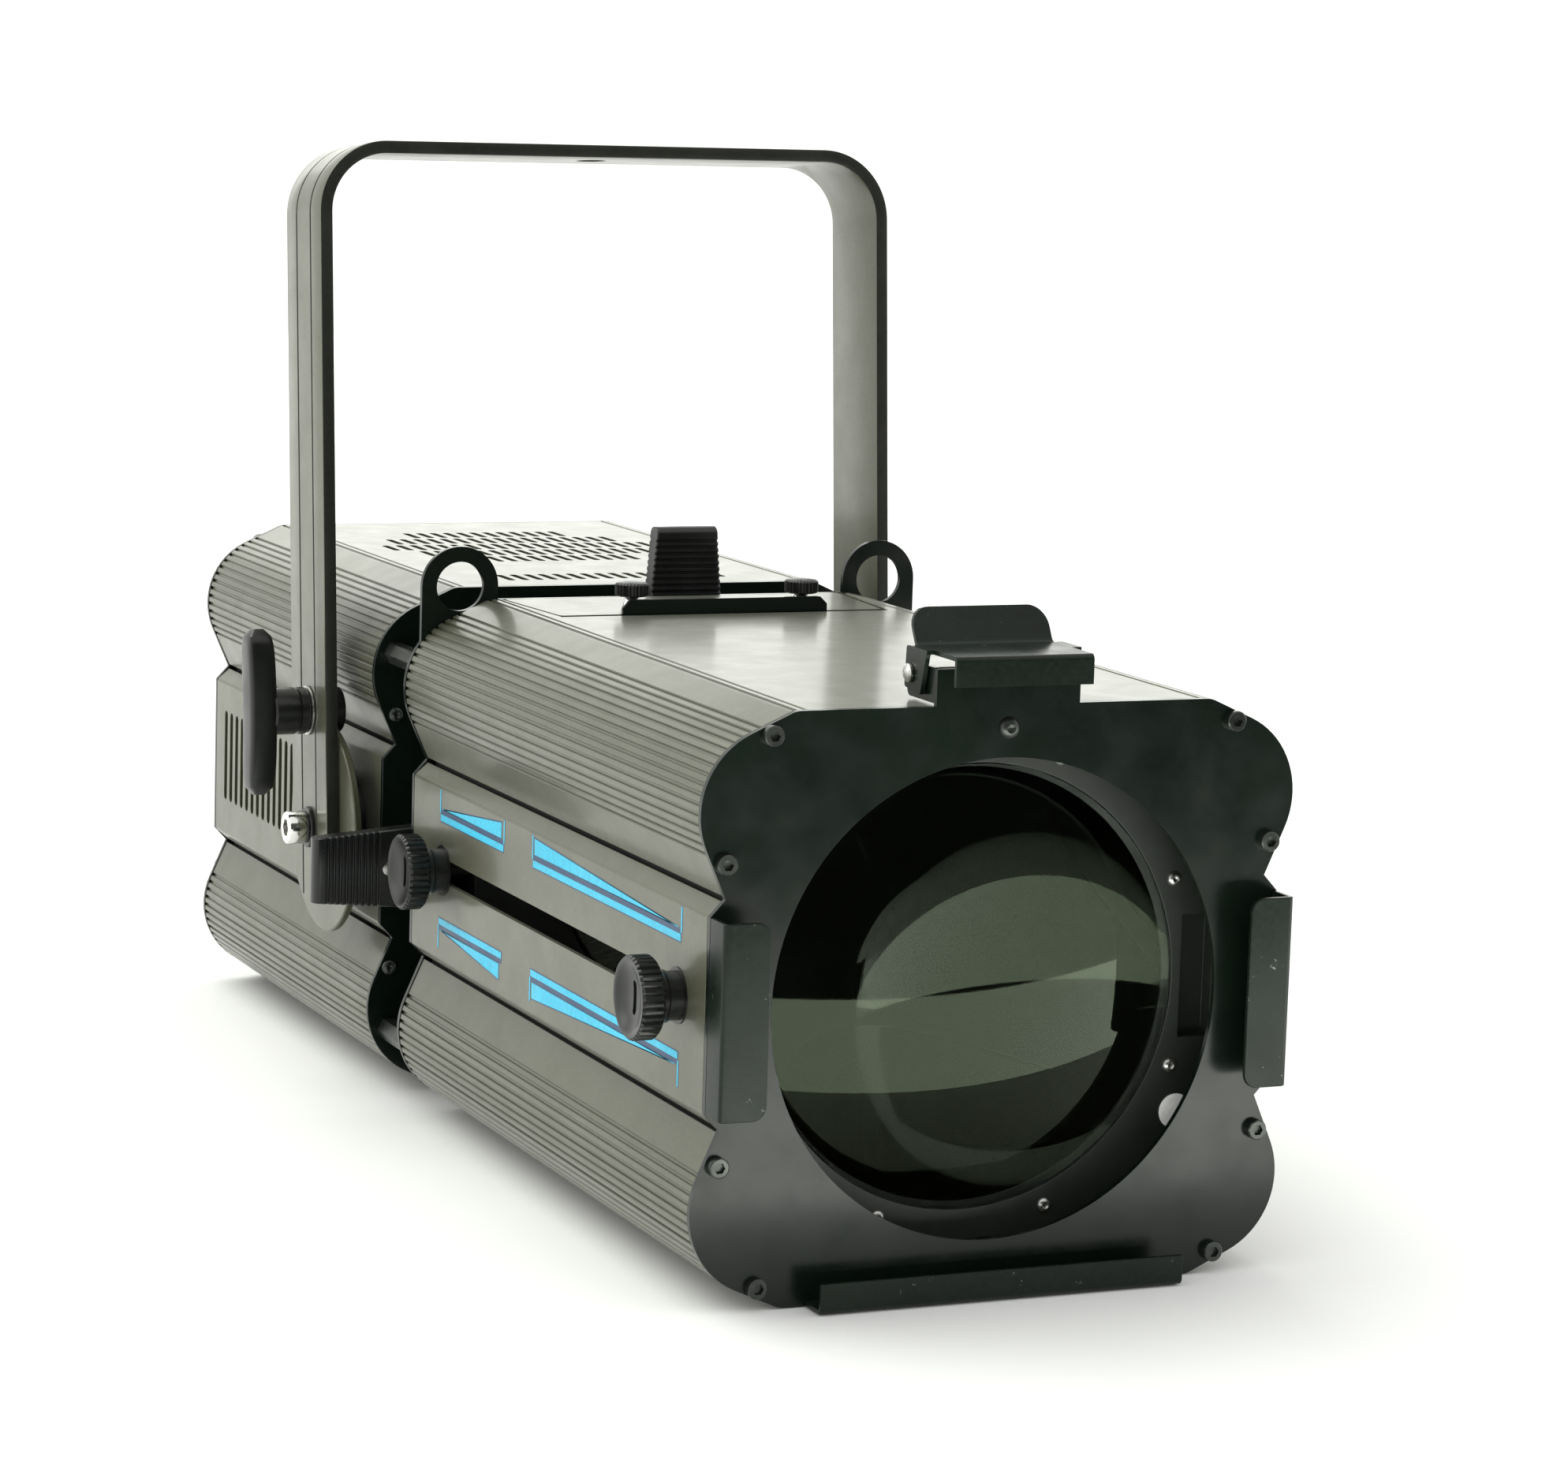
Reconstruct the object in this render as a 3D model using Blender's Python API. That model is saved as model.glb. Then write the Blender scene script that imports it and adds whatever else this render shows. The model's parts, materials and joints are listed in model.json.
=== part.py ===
"""Ellipsoidal stage spotlight with a zoom front, framing shutters and a hanging yoke.

Frame: origin on the base, straight below the yoke pivot; X across, Y along the
optical axis with the front at -Y, Z up.  Sizes below are in millimetres.
"""
import math

import bmesh
import bpy
from mathutils import Matrix, Vector

MM = 0.001
GAP = 0.3                    # clearance between neighbouring pieces

# ---- driving dimensions -------------------------------------------------
AXIS_Z = 100.3               # height of the optical axis and of the yoke pivot
FRONT_Y = -380.0             # front face of the front plate
SHUTTER_PLATE_Y = -78.7      # front face of the plate that closes the front housing
REAR_BULKHEAD_Y = -39.9      # front face of the plate that opens the rear housing
REAR_Y = 193.0               # rear face of the rear plate
PLATE = 2.2                  # thickness of the end plates
SHELL = 2.5                  # wall of the extruded shells
PANEL = 2.0                  # wall of the side panels

TOP_FLAT_X = 76.5            # half width of the flat top, where the slope starts
SLOPE_CORNER = (118.6, 81.4)  # where the slope and the lobe's lower side would meet
LOBE_RADIUS = 29.0
NOTCH = (99.9, 38.6)         # the groove between shell and side panel
PANEL_X = 105.1              # outer face of the side panels
PANEL_EDGE_Z = 33.0          # where the side panel bends in towards the groove

APERTURE_RADIUS = 82.5
GATE_RADIUS = 37.0
RUNNER_REACH = 13.0          # how far the colour-frame runners stand forward
RUNNER_SHEET = 1.8

YOKE_OUTER_X = 122.0
YOKE_THICK = 5.1
YOKE_WIDTH = 45.4
YOKE_TOP = 272.0             # from the pivot to the top of the crossbar
YOKE_CORNER = 28.0           # outer bend radius
YOKE_LEAN = -5.0             # degrees back from upright as the lamp stands
YOKE_TIP = -7.0              # centre of the rounded arm end, below the pivot
CLAMP_ARM = 46.7             # from the pivot to the locking handle
DISC_RADIUS = 42.0

SLOT_Z = 1.8                 # the control slot sits just above the axis
KNOB_FRONT_Y = -353.0        # focus knob as it stands
KNOB_REAR_Y = -114.0         # zoom knob as it stands
CARRIAGE_DEPTH = 10.0
FRONT_LENS_RADIUS = 77.0
REAR_LENS_RADIUS = 58.0

LATCH_PIVOT = (-363.0, 109.4)  # y, and height above the axis

ALL = []                     # the nodes, in the order they are made


# ---- materials ----------------------------------------------------------
def material(name, color, rough, metal, alpha=1.0):
    mat = bpy.data.materials.new(name)
    mat.use_nodes = True
    shader = mat.node_tree.nodes["Principled BSDF"]
    shader.inputs["Base Color"].default_value = (*color, 1.0)
    shader.inputs["Roughness"].default_value = rough
    shader.inputs["Metallic"].default_value = metal
    shader.inputs["Alpha"].default_value = alpha
    mat.diffuse_color = (*color, 1.0)
    return mat


# ---- outlines -----------------------------------------------------------
def fillet(corners, radii, facet=15):
    """Points of an open line whose inner corners are rounded by arcs.

    facet is the largest turn between neighbouring points, in degrees.
    """
    points = [Vector(corners[0])]
    for before, corner, after, radius in zip(corners, corners[1:], corners[2:], radii):
        a, b, c = Vector(before), Vector(corner), Vector(after)
        if radius <= 0:
            points.append(b)
            continue
        u, v = (a - b).normalized(), (c - b).normalized()
        half = math.acos(max(-1.0, min(1.0, u.dot(v)))) / 2
        reach = radius / math.tan(half)
        centre = b + (u + v).normalized() * radius / math.sin(half)
        start, end = b + u * reach - centre, b + v * reach - centre
        turn = start.angle_signed(end)
        steps = max(2, round(abs(math.degrees(turn)) / facet))
        for i in range(steps + 1):
            points.append(centre + Matrix.Rotation(-turn * i / steps, 2) @ start)
    points.append(Vector(corners[-1]))
    return points


def offset(points, distance):
    """The line moved sideways, to its left, with mitred corners."""
    moved = []
    for i, point in enumerate(points):
        before = points[i] - points[i - 1] if i > 0 else points[1] - points[0]
        after = points[i + 1] - points[i] if i < len(points) - 1 else before
        n1 = Vector((-before.y, before.x)).normalized()
        n2 = Vector((-after.y, after.x)).normalized()
        middle = (n1 + n2).normalized()
        moved.append(point + middle * distance / max(0.3, middle.dot(n1)))
    return moved


def strip(points, thickness):
    """Closed outline of a bent sheet that follows an open line."""
    return list(points) + list(reversed(offset(points, thickness)))


def arc(centre, radius, start, end, steps):
    """Points on an arc, angles in degrees."""
    angles = [math.radians(start + (end - start) * i / steps) for i in range(steps + 1)]
    return [Vector((centre[0] + radius * math.cos(a), centre[1] + radius * math.sin(a)))
            for a in angles]


def half_section(clear=0.0):
    """Outer line of the upper shell, left groove to right groove."""
    right = [(NOTCH[0], NOTCH[1] + clear), SLOPE_CORNER, (TOP_FLAT_X, AXIS_Z)]
    corners = right + [(-x, z) for x, z in reversed(right)]
    return fillet(corners, [LOBE_RADIUS, 8.0, 8.0, LOBE_RADIUS])


def body_outline():
    """The whole closed cross-section, as the end plates are cut."""
    top = half_section()
    left = [Vector((-PANEL_X, PANEL_EDGE_Z)), Vector((-PANEL_X, -PANEL_EDGE_Z))]
    bottom = [Vector((-p.x, -p.y)) for p in top]
    right = [Vector((PANEL_X, -PANEL_EDGE_Z)), Vector((PANEL_X, PANEL_EDGE_Z))]
    return top + left + bottom + right


# ---- solids -------------------------------------------------------------
def finish(name, bm, mat, smooth=True):
    """Make the object from a bmesh drawn in millimetres."""
    bmesh.ops.recalc_face_normals(bm, faces=bm.faces[:])
    if bm.calc_volume(signed=True) < 0:
        bmesh.ops.reverse_faces(bm, faces=bm.faces[:])
    bmesh.ops.scale(bm, vec=(MM, MM, MM), verts=bm.verts[:])
    mesh = bpy.data.meshes.new(name)
    bm.to_mesh(mesh)
    bm.free()
    if smooth:
        mesh.shade_smooth()
        mesh.set_sharp_from_angle(angle=math.radians(35))
    obj = bpy.data.objects.new(name, mesh)
    bpy.context.scene.collection.objects.link(obj)
    if mat is not None:
        mesh.materials.append(mat)
        ALL.append(obj)
    return obj


def to_axis(axis, u, v, w):
    """A point drawn at (u, v) with height w along the named axis."""
    if axis == "Y":
        return (u, w, v)
    if axis == "X":
        return (w, u, v)
    return (u, v, w)


def prism(name, outline, axis, low, high, mat=None):
    """A closed outline pushed along an axis.

    The outline is (x, z) along Y, (y, z) along X and (x, y) along Z.
    """
    bm = bmesh.new()
    base = [bm.verts.new(to_axis(axis, p[0], p[1], low)) for p in outline]
    face = bm.faces.new(base)
    pushed = bmesh.ops.extrude_face_region(bm, geom=[face])
    shift = Vector(to_axis(axis, 0, 0, high - low))
    verts = [g for g in pushed["geom"] if isinstance(g, bmesh.types.BMVert)]
    bmesh.ops.translate(bm, vec=shift, verts=verts)
    return finish(name, bm, mat)


def block(name, x, y, z, mat=None):
    """A box from three (low, high) pairs."""
    return prism(name, [(x[0], z[0]), (x[1], z[0]), (x[1], z[1]), (x[0], z[1])], "Y", y[0], y[1], mat)


def turned(name, profile, axis, centre, mat=None, sides=32):
    """A (radius, height) profile turned about an axis through centre (u, v)."""
    bm = bmesh.new()
    rings = []
    for radius, height in profile:
        if radius == 0:
            rings.append([bm.verts.new(to_axis(axis, centre[0], centre[1], height))])
            continue
        ring = []
        for i in range(sides):
            a = math.tau * i / sides
            u, v = centre[0] + radius * math.cos(a), centre[1] + radius * math.sin(a)
            ring.append(bm.verts.new(to_axis(axis, u, v, height)))
        rings.append(ring)
    closed = profile[0][0] > 0
    pairs = list(zip(rings, rings[1:]))
    if closed:
        pairs.append((rings[-1], rings[0]))
    for one, two in pairs:
        for i in range(sides):
            j = (i + 1) % sides
            corners = [one[i % len(one)], one[j % len(one)], two[j % len(two)], two[i % len(two)]]
            unique = list(dict.fromkeys(corners))
            if len(unique) > 2:
                bm.faces.new(unique)
    return finish(name, bm, mat)


def rod(name, radius, axis, centre, low, high, mat=None, sides=24):
    return turned(name, [(0, low), (radius, low), (radius, high), (0, high)], axis, centre, mat, sides)


def ring(name, outer, inner, axis, centre, low, high, mat=None, sides=32):
    profile = [(inner, low), (outer, low), (outer, high), (inner, high)]
    return turned(name, profile, axis, centre, mat, sides)


def boolean(obj, tool, operation):
    tool.hide_render = True
    tool.display_type = "WIRE"
    tool.name = obj.name + "_tool"
    if tool.parent is None and obj.parent is not None:
        tool.parent = obj.parent
    step = obj.modifiers.new(operation.lower(), "BOOLEAN")
    step.operation = operation
    step.solver = "EXACT"
    step.object = tool
    return obj


def cut(obj, *tools):
    for tool in tools:
        boolean(obj, tool, "DIFFERENCE")
    return obj


def add(obj, *tools):
    for tool in tools:
        boolean(obj, tool, "UNION")
    return obj


def cutters(name, boxes):
    """One cutter mesh made of many separate boxes."""
    bm = bmesh.new()
    for x, y, z in boxes:
        size = (x[1] - x[0], y[1] - y[0], z[1] - z[0])
        middle = ((x[0] + x[1]) / 2, (y[0] + y[1]) / 2, (z[0] + z[1]) / 2)
        made = bmesh.ops.create_cube(bm, size=1.0)
        bmesh.ops.scale(bm, vec=size, verts=made["verts"])
        bmesh.ops.translate(bm, vec=middle, verts=made["verts"])
    return finish(name, bm, None)


# ---- housing ------------------------------------------------------------
def vent_rows():
    """Centres of the staggered slots in the rear top, as (x, y)."""
    pitch, row_pitch, first = 6.05, 22.4, 52.5
    spots = []
    for row, count in enumerate((12, 17, 20, 17, 12)):
        y = first + row * row_pitch
        spots += [((i - (count - 1) / 2) * pitch, y) for i in range(count)]
    front_row = 16
    spots += [((i - (front_row - 1) / 2) * pitch, -11.0) for i in range(front_row)]
    return spots


def make_shells(body):
    outline = strip(half_section(0.9), SHELL)
    under = [Vector((-p.x, -p.y)) for p in outline]
    front = (FRONT_Y + PLATE + GAP, SHUTTER_PLATE_Y - GAP)
    rear = (REAR_BULKHEAD_Y + PLATE + GAP, REAR_Y - PLATE - GAP)
    front_top = prism("front_top_shell", outline, "Y", *front, body)
    prism("front_bottom_shell", under, "Y", *front, body)
    rear_top = prism("rear_top_shell", outline, "Y", *rear, body)
    prism("rear_bottom_shell", under, "Y", *rear, body)

    hatch = [(-66.5, -134.0), (66.5, -134.0), (71.5, -70.0), (-71.5, -70.0)]
    cut(front_top, prism("hatch", hatch, "Z", 90, 110))
    slots = [((x - 1.5, x + 1.5), (y - 9.3, y + 9.3), (90, 110)) for x, y in vent_rows()]
    cut(rear_top, cutters("vents", slots))


def make_side_panels(body):
    corners = [(NOTCH[0], NOTCH[1] - 0.9), (PANEL_X, PANEL_EDGE_Z),
               (PANEL_X, -PANEL_EDGE_Z), (NOTCH[0], -NOTCH[1] + 0.9)]
    right = strip([Vector(c) for c in corners], -PANEL)
    left = [Vector((-p.x, p.y)) for p in right]
    front = (FRONT_Y + PLATE + GAP, SHUTTER_PLATE_Y - GAP)
    rear = (REAR_BULKHEAD_Y + PLATE + GAP, REAR_Y - PLATE - GAP)
    prism("front_right_panel", right, "Y", *front, body)
    control_side = prism("front_left_panel", left, "Y", *front, body)
    slot = fillet([(-230, 4.5), (KNOB_REAR_Y + 9, 4.5), (KNOB_REAR_Y + 9, -4.5),
                   (KNOB_FRONT_Y - 9, -4.5), (KNOB_FRONT_Y - 9, 4.5), (-230, 4.5)],
                  [4.4, 4.4, 4.4, 4.4], 30)[:-1]
    slot = [(p[0], p[1] + SLOT_Z) for p in slot]
    cut(control_side, prism("slot", slot, "X", -115, -95))
    for name, outline, side in (("rear_right_panel", right, 1), ("rear_left_panel", left, -1)):
        panel = prism(name, outline, "Y", *rear, body)
        x = (min(side * 95, side * 115), max(side * 95, side * 115))
        slots = [(x, (78 + 8 * i, 82 + 8 * i), (-18, 21)) for i in range(13)]
        cut(panel, cutters("side_vents", slots), rod("bore", 4.6, "X", (0, 0), x[0], x[1]))


def make_front_plate(black):
    y0, y1 = FRONT_Y, FRONT_Y + PLATE
    plate = prism("front_plate", body_outline(), "Y", y0, y1, black)
    reach = y0 - RUNNER_REACH
    sheet = RUNNER_SHEET
    for side in (-1, 1):
        runner = [(side * (PANEL_X - 16.5), reach), (side * PANEL_X, reach), (side * PANEL_X, y1 - 0.2)]
        line = fillet(runner, [2.0], 30)
        add(plate, prism("runner", strip(line, side * sheet), "Z", -PANEL_EDGE_Z, PANEL_EDGE_Z))
    low = fillet([(reach, -AXIS_Z + 10.5), (reach, -AXIS_Z), (y1 - 0.2, -AXIS_Z)], [2.0], 30)
    add(plate, prism("low_runner", strip(low, sheet), "X", -67, 68))
    add(plate, block("latch_tab", (-26.5, 26.5), (y0, y1), (AXIS_Z - 3, 113.0)))
    for side in (-1, 1):
        x = sorted((side * 24.5, side * 26.5))
        lug = block("lug", x, (y0 + 0.5, -356.5), (AXIS_Z + 0.8, 113.0))
        add(plate, lug)
    y, z = LATCH_PIVOT
    cut(plate, rod("lug_bore", 2.4, "X", (y, z), -30, 30, sides=16))
    cut(plate, rod("aperture", APERTURE_RADIUS, "Y", (0, 0), y0 - 5, y1 + 5, sides=60))


def make_gate_plates(black):
    y0, y1 = SHUTTER_PLATE_Y, SHUTTER_PLATE_Y + PLATE
    plate = prism("shutter_plate", body_outline(), "Y", y0, y1, black)
    for side in (-1, 1):
        ear = arc((88, 105.5), 15.4, 180, 0, 10) + [Vector((103.4, 84)), Vector((72.6, 92))]
        add(plate, prism("ear", [(side * p.x, p.y) for p in ear], "Y", y0, y1))
        cut(plate, rod("ear_hole", 9.5, "Y", (side * 88, 105.5), y0 - 3, y1 + 3, sides=20))
    cut(plate, rod("gate_hole", GATE_RADIUS + 8, "Y", (0, 0), y0 - 3, y1 + 3, sides=32))

    bulkhead = prism("rear_bulkhead", body_outline(), "Y", REAR_BULKHEAD_Y, REAR_BULKHEAD_Y + PLATE, black)
    cut(bulkhead, rod("light_hole", GATE_RADIUS + 8, "Y", (0, 0), -45, -30, sides=32))
    rear = prism("rear_plate", body_outline(), "Y", REAR_Y - PLATE, REAR_Y, black)
    cut(rear, rod("lamp_hole", 23.5, "Y", (0, 0), 185, 200, sides=32))


def make_gate(steel):
    outer, sheet = 55.0, 1.6
    after = SHUTTER_PLATE_Y + PLATE + GAP
    ring("gate_aperture", outer, GATE_RADIUS, "Y", (0, 0), after, after + sheet, steel)
    ring("shutter_retainer", outer, GATE_RADIUS + 3, "Y", (0, 0), -60.0, -60.0 + sheet, steel)
    low, high = SHUTTER_PLATE_Y + PLATE + GAP, REAR_BULKHEAD_Y - GAP
    for name, x, z in (("gate_post_1", -101, 75), ("gate_post_2", 101, 75),
                       ("gate_post_3", -101, -75), ("gate_post_4", 101, -75)):
        rod(name, 4.6, "Y", (x, z), low, high, steel, sides=6)


def make_cover(body, black, knob):
    plate = [(-66.2, -130.9), (66.2, -130.9), (70.3, -79.2), (-70.3, -79.2)]
    cover = prism("access_cover", plate, "Z", AXIS_Z - 2.0, AXIS_Z, body)
    lip = [Vector(p) for p in ((-110, 96.4), (-133.2, 96.4), (-133.2, 106.0))]
    bracket = prism("cover_bracket", strip(lip, -1.5), "X", -42, 42, black)
    for name, x in (("cover_thumbscrew_left", -35), ("cover_thumbscrew_right", 35)):
        centre = (x, -124.0)
        profile = [(0, 93.5), (2.0, 93.5), (2.0, 100.8), (4.2, 100.8), (2.6, 106.4),
                   (6.3, 106.8), (6.3, 111.2), (5.0, 112.0), (0, 112.0)]
        turned(name, profile, "Z", centre, knob, sides=14)
        cut(cover, rod("cover_hole", 2.4, "Z", centre, 90, 105, sides=12))
        cut(bracket, rod("bracket_hole", 2.4, "Z", centre, 90, 105, sides=12))


def make_latch(black, steel):
    y, z = LATCH_PIVOT
    top = z + 9.1
    front = FRONT_Y - RUNNER_REACH - 0.4
    line = fillet([(front, z - 1.0), (front, top), (y + 1, top), (y + 8, top + 12)], [1.8, 2.5], 30)
    latch = prism("frame_latch", strip(line, -1.5), "X", -26.0, 24.5, black)
    for x in ((-28.6, -27.0), (27.0, 28.6)):
        side = [(y - 15, top - 0.2), (y - 15, z - 5), (y - 8, z - 6.5), (y + 3.5, z - 4), (y + 3.5, top - 0.2)]
        add(latch, prism("latch_ear", side, "X", x[0], x[1]))
    add(latch, block("latch_top", (-28.6, 28.6), (y - 15, y + 1.5), (top - 1.5, top)))
    cut(latch, rod("latch_bore", 2.4, "X", (y, z), -31, 31, sides=16))
    profile = [(0, -30.6), (2.0, -30.4), (3.2, -29.7), (3.2, -28.9), (2.0, -28.9),
               (2.0, 28.9), (3.2, 28.9), (3.2, 29.7), (2.0, 30.4), (0, 30.6)]
    turned("latch_pin", profile, "X", (y, z), steel, sides=12)


# ---- lenses and their carriages ----------------------------------------
def lens_profile(radius, low, high, front_bulge, rear_bulge, steps=5):
    """Half section of a lens from its front centre round to its rear centre."""
    points = []
    for i in range(steps + 1):
        r = radius * i / steps
        points.append((r, low - front_bulge * (1 - (r / radius) ** 2)))
    for i in range(steps + 1):
        r = radius * (steps - i) / steps
        points.append((r, high + rear_bulge * (1 - (r / radius) ** 2)))
    return points


def make_carriage(name, front, radius, black):
    """A plate that slides on the two rods, with a seat for its lens."""
    half_x, half_z = 94.0, 88.0
    corners = [(0, half_z), (half_x, half_z), (half_x, -half_z), (-half_x, -half_z),
               (-half_x, half_z), (0, half_z)]
    outline = fillet(corners, [24, 24, 24, 24], 30)[:-1]
    plate = prism(name, outline, "Y", front, front + CARRIAGE_DEPTH, black)
    cut(plate, turned("seat", [(0, front - 2), (radius + 0.4, front - 2), (radius + 0.4, front + 6.2),
                               (radius - 3, front + 6.2), (radius - 3, front + 20), (0, front + 20)],
                      "Y", (0, 0), sides=48))
    for x in (-78, 78):
        cut(plate, rod("rod_hole", 4.4, "Y", (x, -70), front - 2, front + 20, sides=20))
    cut(plate, rod("knob_hole", 3.4, "X", (front + 5, SLOT_Z), -100, -84.5, sides=16))
    return plate


def make_knob(name, y, mat):
    profile = [(0, -119.6), (7.5, -119.6), (11.6, -122.6), (13.6, -122.6), (14.3, -121.6),
               (14.3, -115.2), (13.4, -114.4), (8.5, -114.2), (8.5, -105.6), (3.0, -105.6),
               (3.0, -85.5), (0, -85.5)]
    turned(name, profile, "X", (y, SLOT_Z), mat, sides=20)


def make_optics(glass, black, steel, knob):
    front_plane = KNOB_FRONT_Y - 5
    rear_plane = KNOB_REAR_Y - 5
    make_carriage("front_carriage", front_plane, FRONT_LENS_RADIUS, black)
    make_carriage("rear_carriage", rear_plane, REAR_LENS_RADIUS, black)
    turned("front_lens", lens_profile(FRONT_LENS_RADIUS, front_plane + 0.2, front_plane + 4.0, 12, 11),
           "Y", (0, 0), glass, sides=40)
    turned("rear_lens", lens_profile(REAR_LENS_RADIUS, rear_plane + 0.2, rear_plane + 4.0, 0.0, 15),
           "Y", (0, 0), glass, sides=40)
    for name, x in (("guide_rod_left", -78), ("guide_rod_right", 78)):
        low, high = FRONT_Y + PLATE + GAP, SHUTTER_PLATE_Y - GAP
        rod(name, 4.0, "Y", (x, -70), low, high, steel, sides=16)
    make_knob("focus_knob", KNOB_FRONT_Y, knob)
    make_knob("zoom_knob", KNOB_REAR_Y, knob)


# ---- framing shutters ---------------------------------------------------
HANDLE_LENGTH = 41.0
BLADE_HALF = 45.0


def make_shutter(side, tip, shift, plane, steel, black):
    """One blade and its grip; tip is the grip's end, measured from the axis."""
    turns = {"top": 0, "right": -90, "bottom": 180, "left": 90}
    base = tip - HANDLE_LENGTH
    inner = base - 62.0
    turn = Matrix.Rotation(math.radians(turns[side]), 2)

    def place(points):
        return [turn @ Vector(p) for p in points]

    grip = fillet([(shift, base), (shift + 16, base), (shift + 12.6, tip), (shift - 12.6, tip),
                   (shift - 16, base), (shift, base)], [2.5, 2.5, 2.5, 2.5], 45)[:-1]
    blade = [(-BLADE_HALF, inner), (BLADE_HALF, inner), (BLADE_HALF, inner + 42),
             (shift + 10, base - 4), (shift + 10, base + 14), (shift - 10, base + 14),
             (shift - 10, base - 4), (-BLADE_HALF, inner + 42)]
    pocket = [(shift - 10.4, base - 5), (shift + 10.4, base - 5), (shift + 10.4, base + 14.4),
              (shift - 10.4, base + 14.4)]
    handle = prism("shutter_handle_" + side, place(grip), "Y", plane - 4.5, plane + 4.5, black)
    cut(handle, prism("pocket", place(pocket), "Y", plane - 0.9, plane + 0.9))
    prism("shutter_blade_" + side, place(blade), "Y", plane - 0.5, plane + 0.5, steel)


# ---- lamp house ---------------------------------------------------------
def make_lamp_house(mirror, glass, ceramic, black, steel):
    centre, long_half, short_half, wall = -8.0, 82.0, 60.8, 1.6
    inner, outer = [], []
    steps = 8
    for i in range(steps + 1):
        a = math.radians(4 + 66 * i / steps)
        inner.append((short_half * math.cos(a), centre + long_half * math.sin(a)))
        outer.append(((short_half + wall) * math.cos(a), centre + (long_half + wall) * math.sin(a)))
    rim = [(68.0, outer[0][1]), (68.0, inner[0][1] - 1.6), (inner[0][0], inner[0][1] - 1.6)]
    turned("reflector", inner + list(reversed(outer)) + rim, "Y", (0, 0), mirror, sides=24)
    corners = [(0, 90), (94, 90), (94, -90), (-94, -90), (-94, 90), (0, 90)]
    bulkhead = prism("reflector_plate", fillet(corners, [26] * 4, 30)[:-1], "Y", -1.8, 0.2, steel)
    cut(bulkhead, rod("reflector_hole", 64.5, "Y", (0, 0), -5, 5, sides=40))

    lamp = [(0, 26), (4, 26.6), (8, 30), (9, 34), (9, 74), (12, 78), (12, 96), (0, 96)]
    turned("lamp", lamp, "Y", (0, 0), glass, sides=16)
    socket = [(0, 96.6), (18, 96.6), (18, 132), (0, 132)]
    turned("lamp_socket", socket, "Y", (0, 0), ceramic, sides=28)
    cap = [(0, 132.6), (21, 132.6), (21, REAR_Y + GAP), (46, REAR_Y + GAP), (46, REAR_Y + 12),
           (40, REAR_Y + 18), (0, REAR_Y + 18)]
    turned("lamp_cap", cap, "Y", (0, 0), black, sides=32)
    knob = [(0, REAR_Y + 18.6), (12, REAR_Y + 18.6), (12, REAR_Y + 29), (10.5, REAR_Y + 30.5), (0, REAR_Y + 30.5)]
    turned("lamp_adjust_knob", knob, "Y", (0, 0), black, sides=28)
    gland = [(4.2, REAR_Y + GAP), (11, REAR_Y + GAP), (11, REAR_Y + 9), (8.5, REAR_Y + 10),
             (8.5, REAR_Y + 18), (6.5, REAR_Y + 22), (4.2, REAR_Y + 22)]
    turned("cable_gland", gland, "Y", (-62, -62), black, sides=16)


# ---- yoke and its pivots ------------------------------------------------
def make_tilt_hardware(side, tag, body, black, chrome):
    """Boss, brake disc, washer and pivot bolt on one side of the housing."""
    def span(a, b):
        return sorted((side * a, side * b))

    ring("tilt_boss_" + tag, 22, 4.6, "X", (0, 0), *span(PANEL_X + GAP, 113.3), black, sides=28)
    ring("brake_disc_" + tag, DISC_RADIUS, 4.6, "X", (0, 0), *span(113.6, 116.6), body, sides=40)
    ring("pivot_washer_" + tag, 6.9, 4.3, "X", (0, 0), *span(122.3, 123.8), black, sides=24)
    head = [(0, side * 99.0), (4.0, side * 99.0), (4.0, side * 124.1), (6.5, side * 124.1),
            (6.5, side * 131.6), (5.8, side * 132.2), (3.2, side * 132.2), (3.2, side * 128.5), (0, side * 128.5)]
    turned("pivot_bolt_" + tag, head, "X", (0, 0), chrome, sides=16)


def yoke_section():
    """Flat bar across (y, thickness) with two grooves in its outer face."""
    half, deep, wide = YOKE_WIDTH / 2, 0.7, 0.6
    line = [(-half, YOKE_THICK), (-half, 0.6), (-half + 0.6, 0)]
    for groove in (-9.0, 9.0):
        line += [(groove - wide, 0), (groove, deep), (groove + wide, 0)]
    return line + [(half - 0.6, 0), (half, 0.6), (half, YOKE_THICK)]


def make_yoke(mat, pivot):
    path = fillet([(-YOKE_OUTER_X, -40), (-YOKE_OUTER_X, YOKE_TOP), (YOKE_OUTER_X, YOKE_TOP), (YOKE_OUTER_X, -40)],
                  [YOKE_CORNER, YOKE_CORNER])
    section = yoke_section()
    bm = bmesh.new()
    loops = []
    for depth_line in [offset(path, -depth) for _, depth in section]:
        loops.append(depth_line)
    rings = [[bm.verts.new((loops[k][i].x, section[k][0], loops[k][i].y)) for k in range(len(section))]
             for i in range(len(path))]
    for one, two in zip(rings, rings[1:]):
        for k in range(len(section)):
            j = (k + 1) % len(section)
            bm.faces.new((one[k], one[j], two[j], two[k]))
    bm.faces.new(rings[0])
    bm.faces.new(list(reversed(rings[-1])))
    yoke = finish("yoke", bm, mat)
    yoke.parent = pivot
    half = YOKE_WIDTH / 2
    end = arc((0, YOKE_TIP), half, 180, 360, 12) + [(half + 9, YOKE_TIP), (half + 9, -60), (-half - 9, -60),
                                                    (-half - 9, YOKE_TIP)]
    cut(yoke, prism("arm_end", end, "X", -140, 140))
    cut(yoke, rod("pivot_bore", 4.6, "X", (0, 0), -140, 140, sides=24))
    cut(yoke, rod("clamp_bore", 3.5, "X", (0, CLAMP_ARM), -140, -100, sides=20))
    cut(yoke, rod("hook_bore", 6.0, "Z", (0, 0), 250, 290, sides=28))
    return yoke


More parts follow.
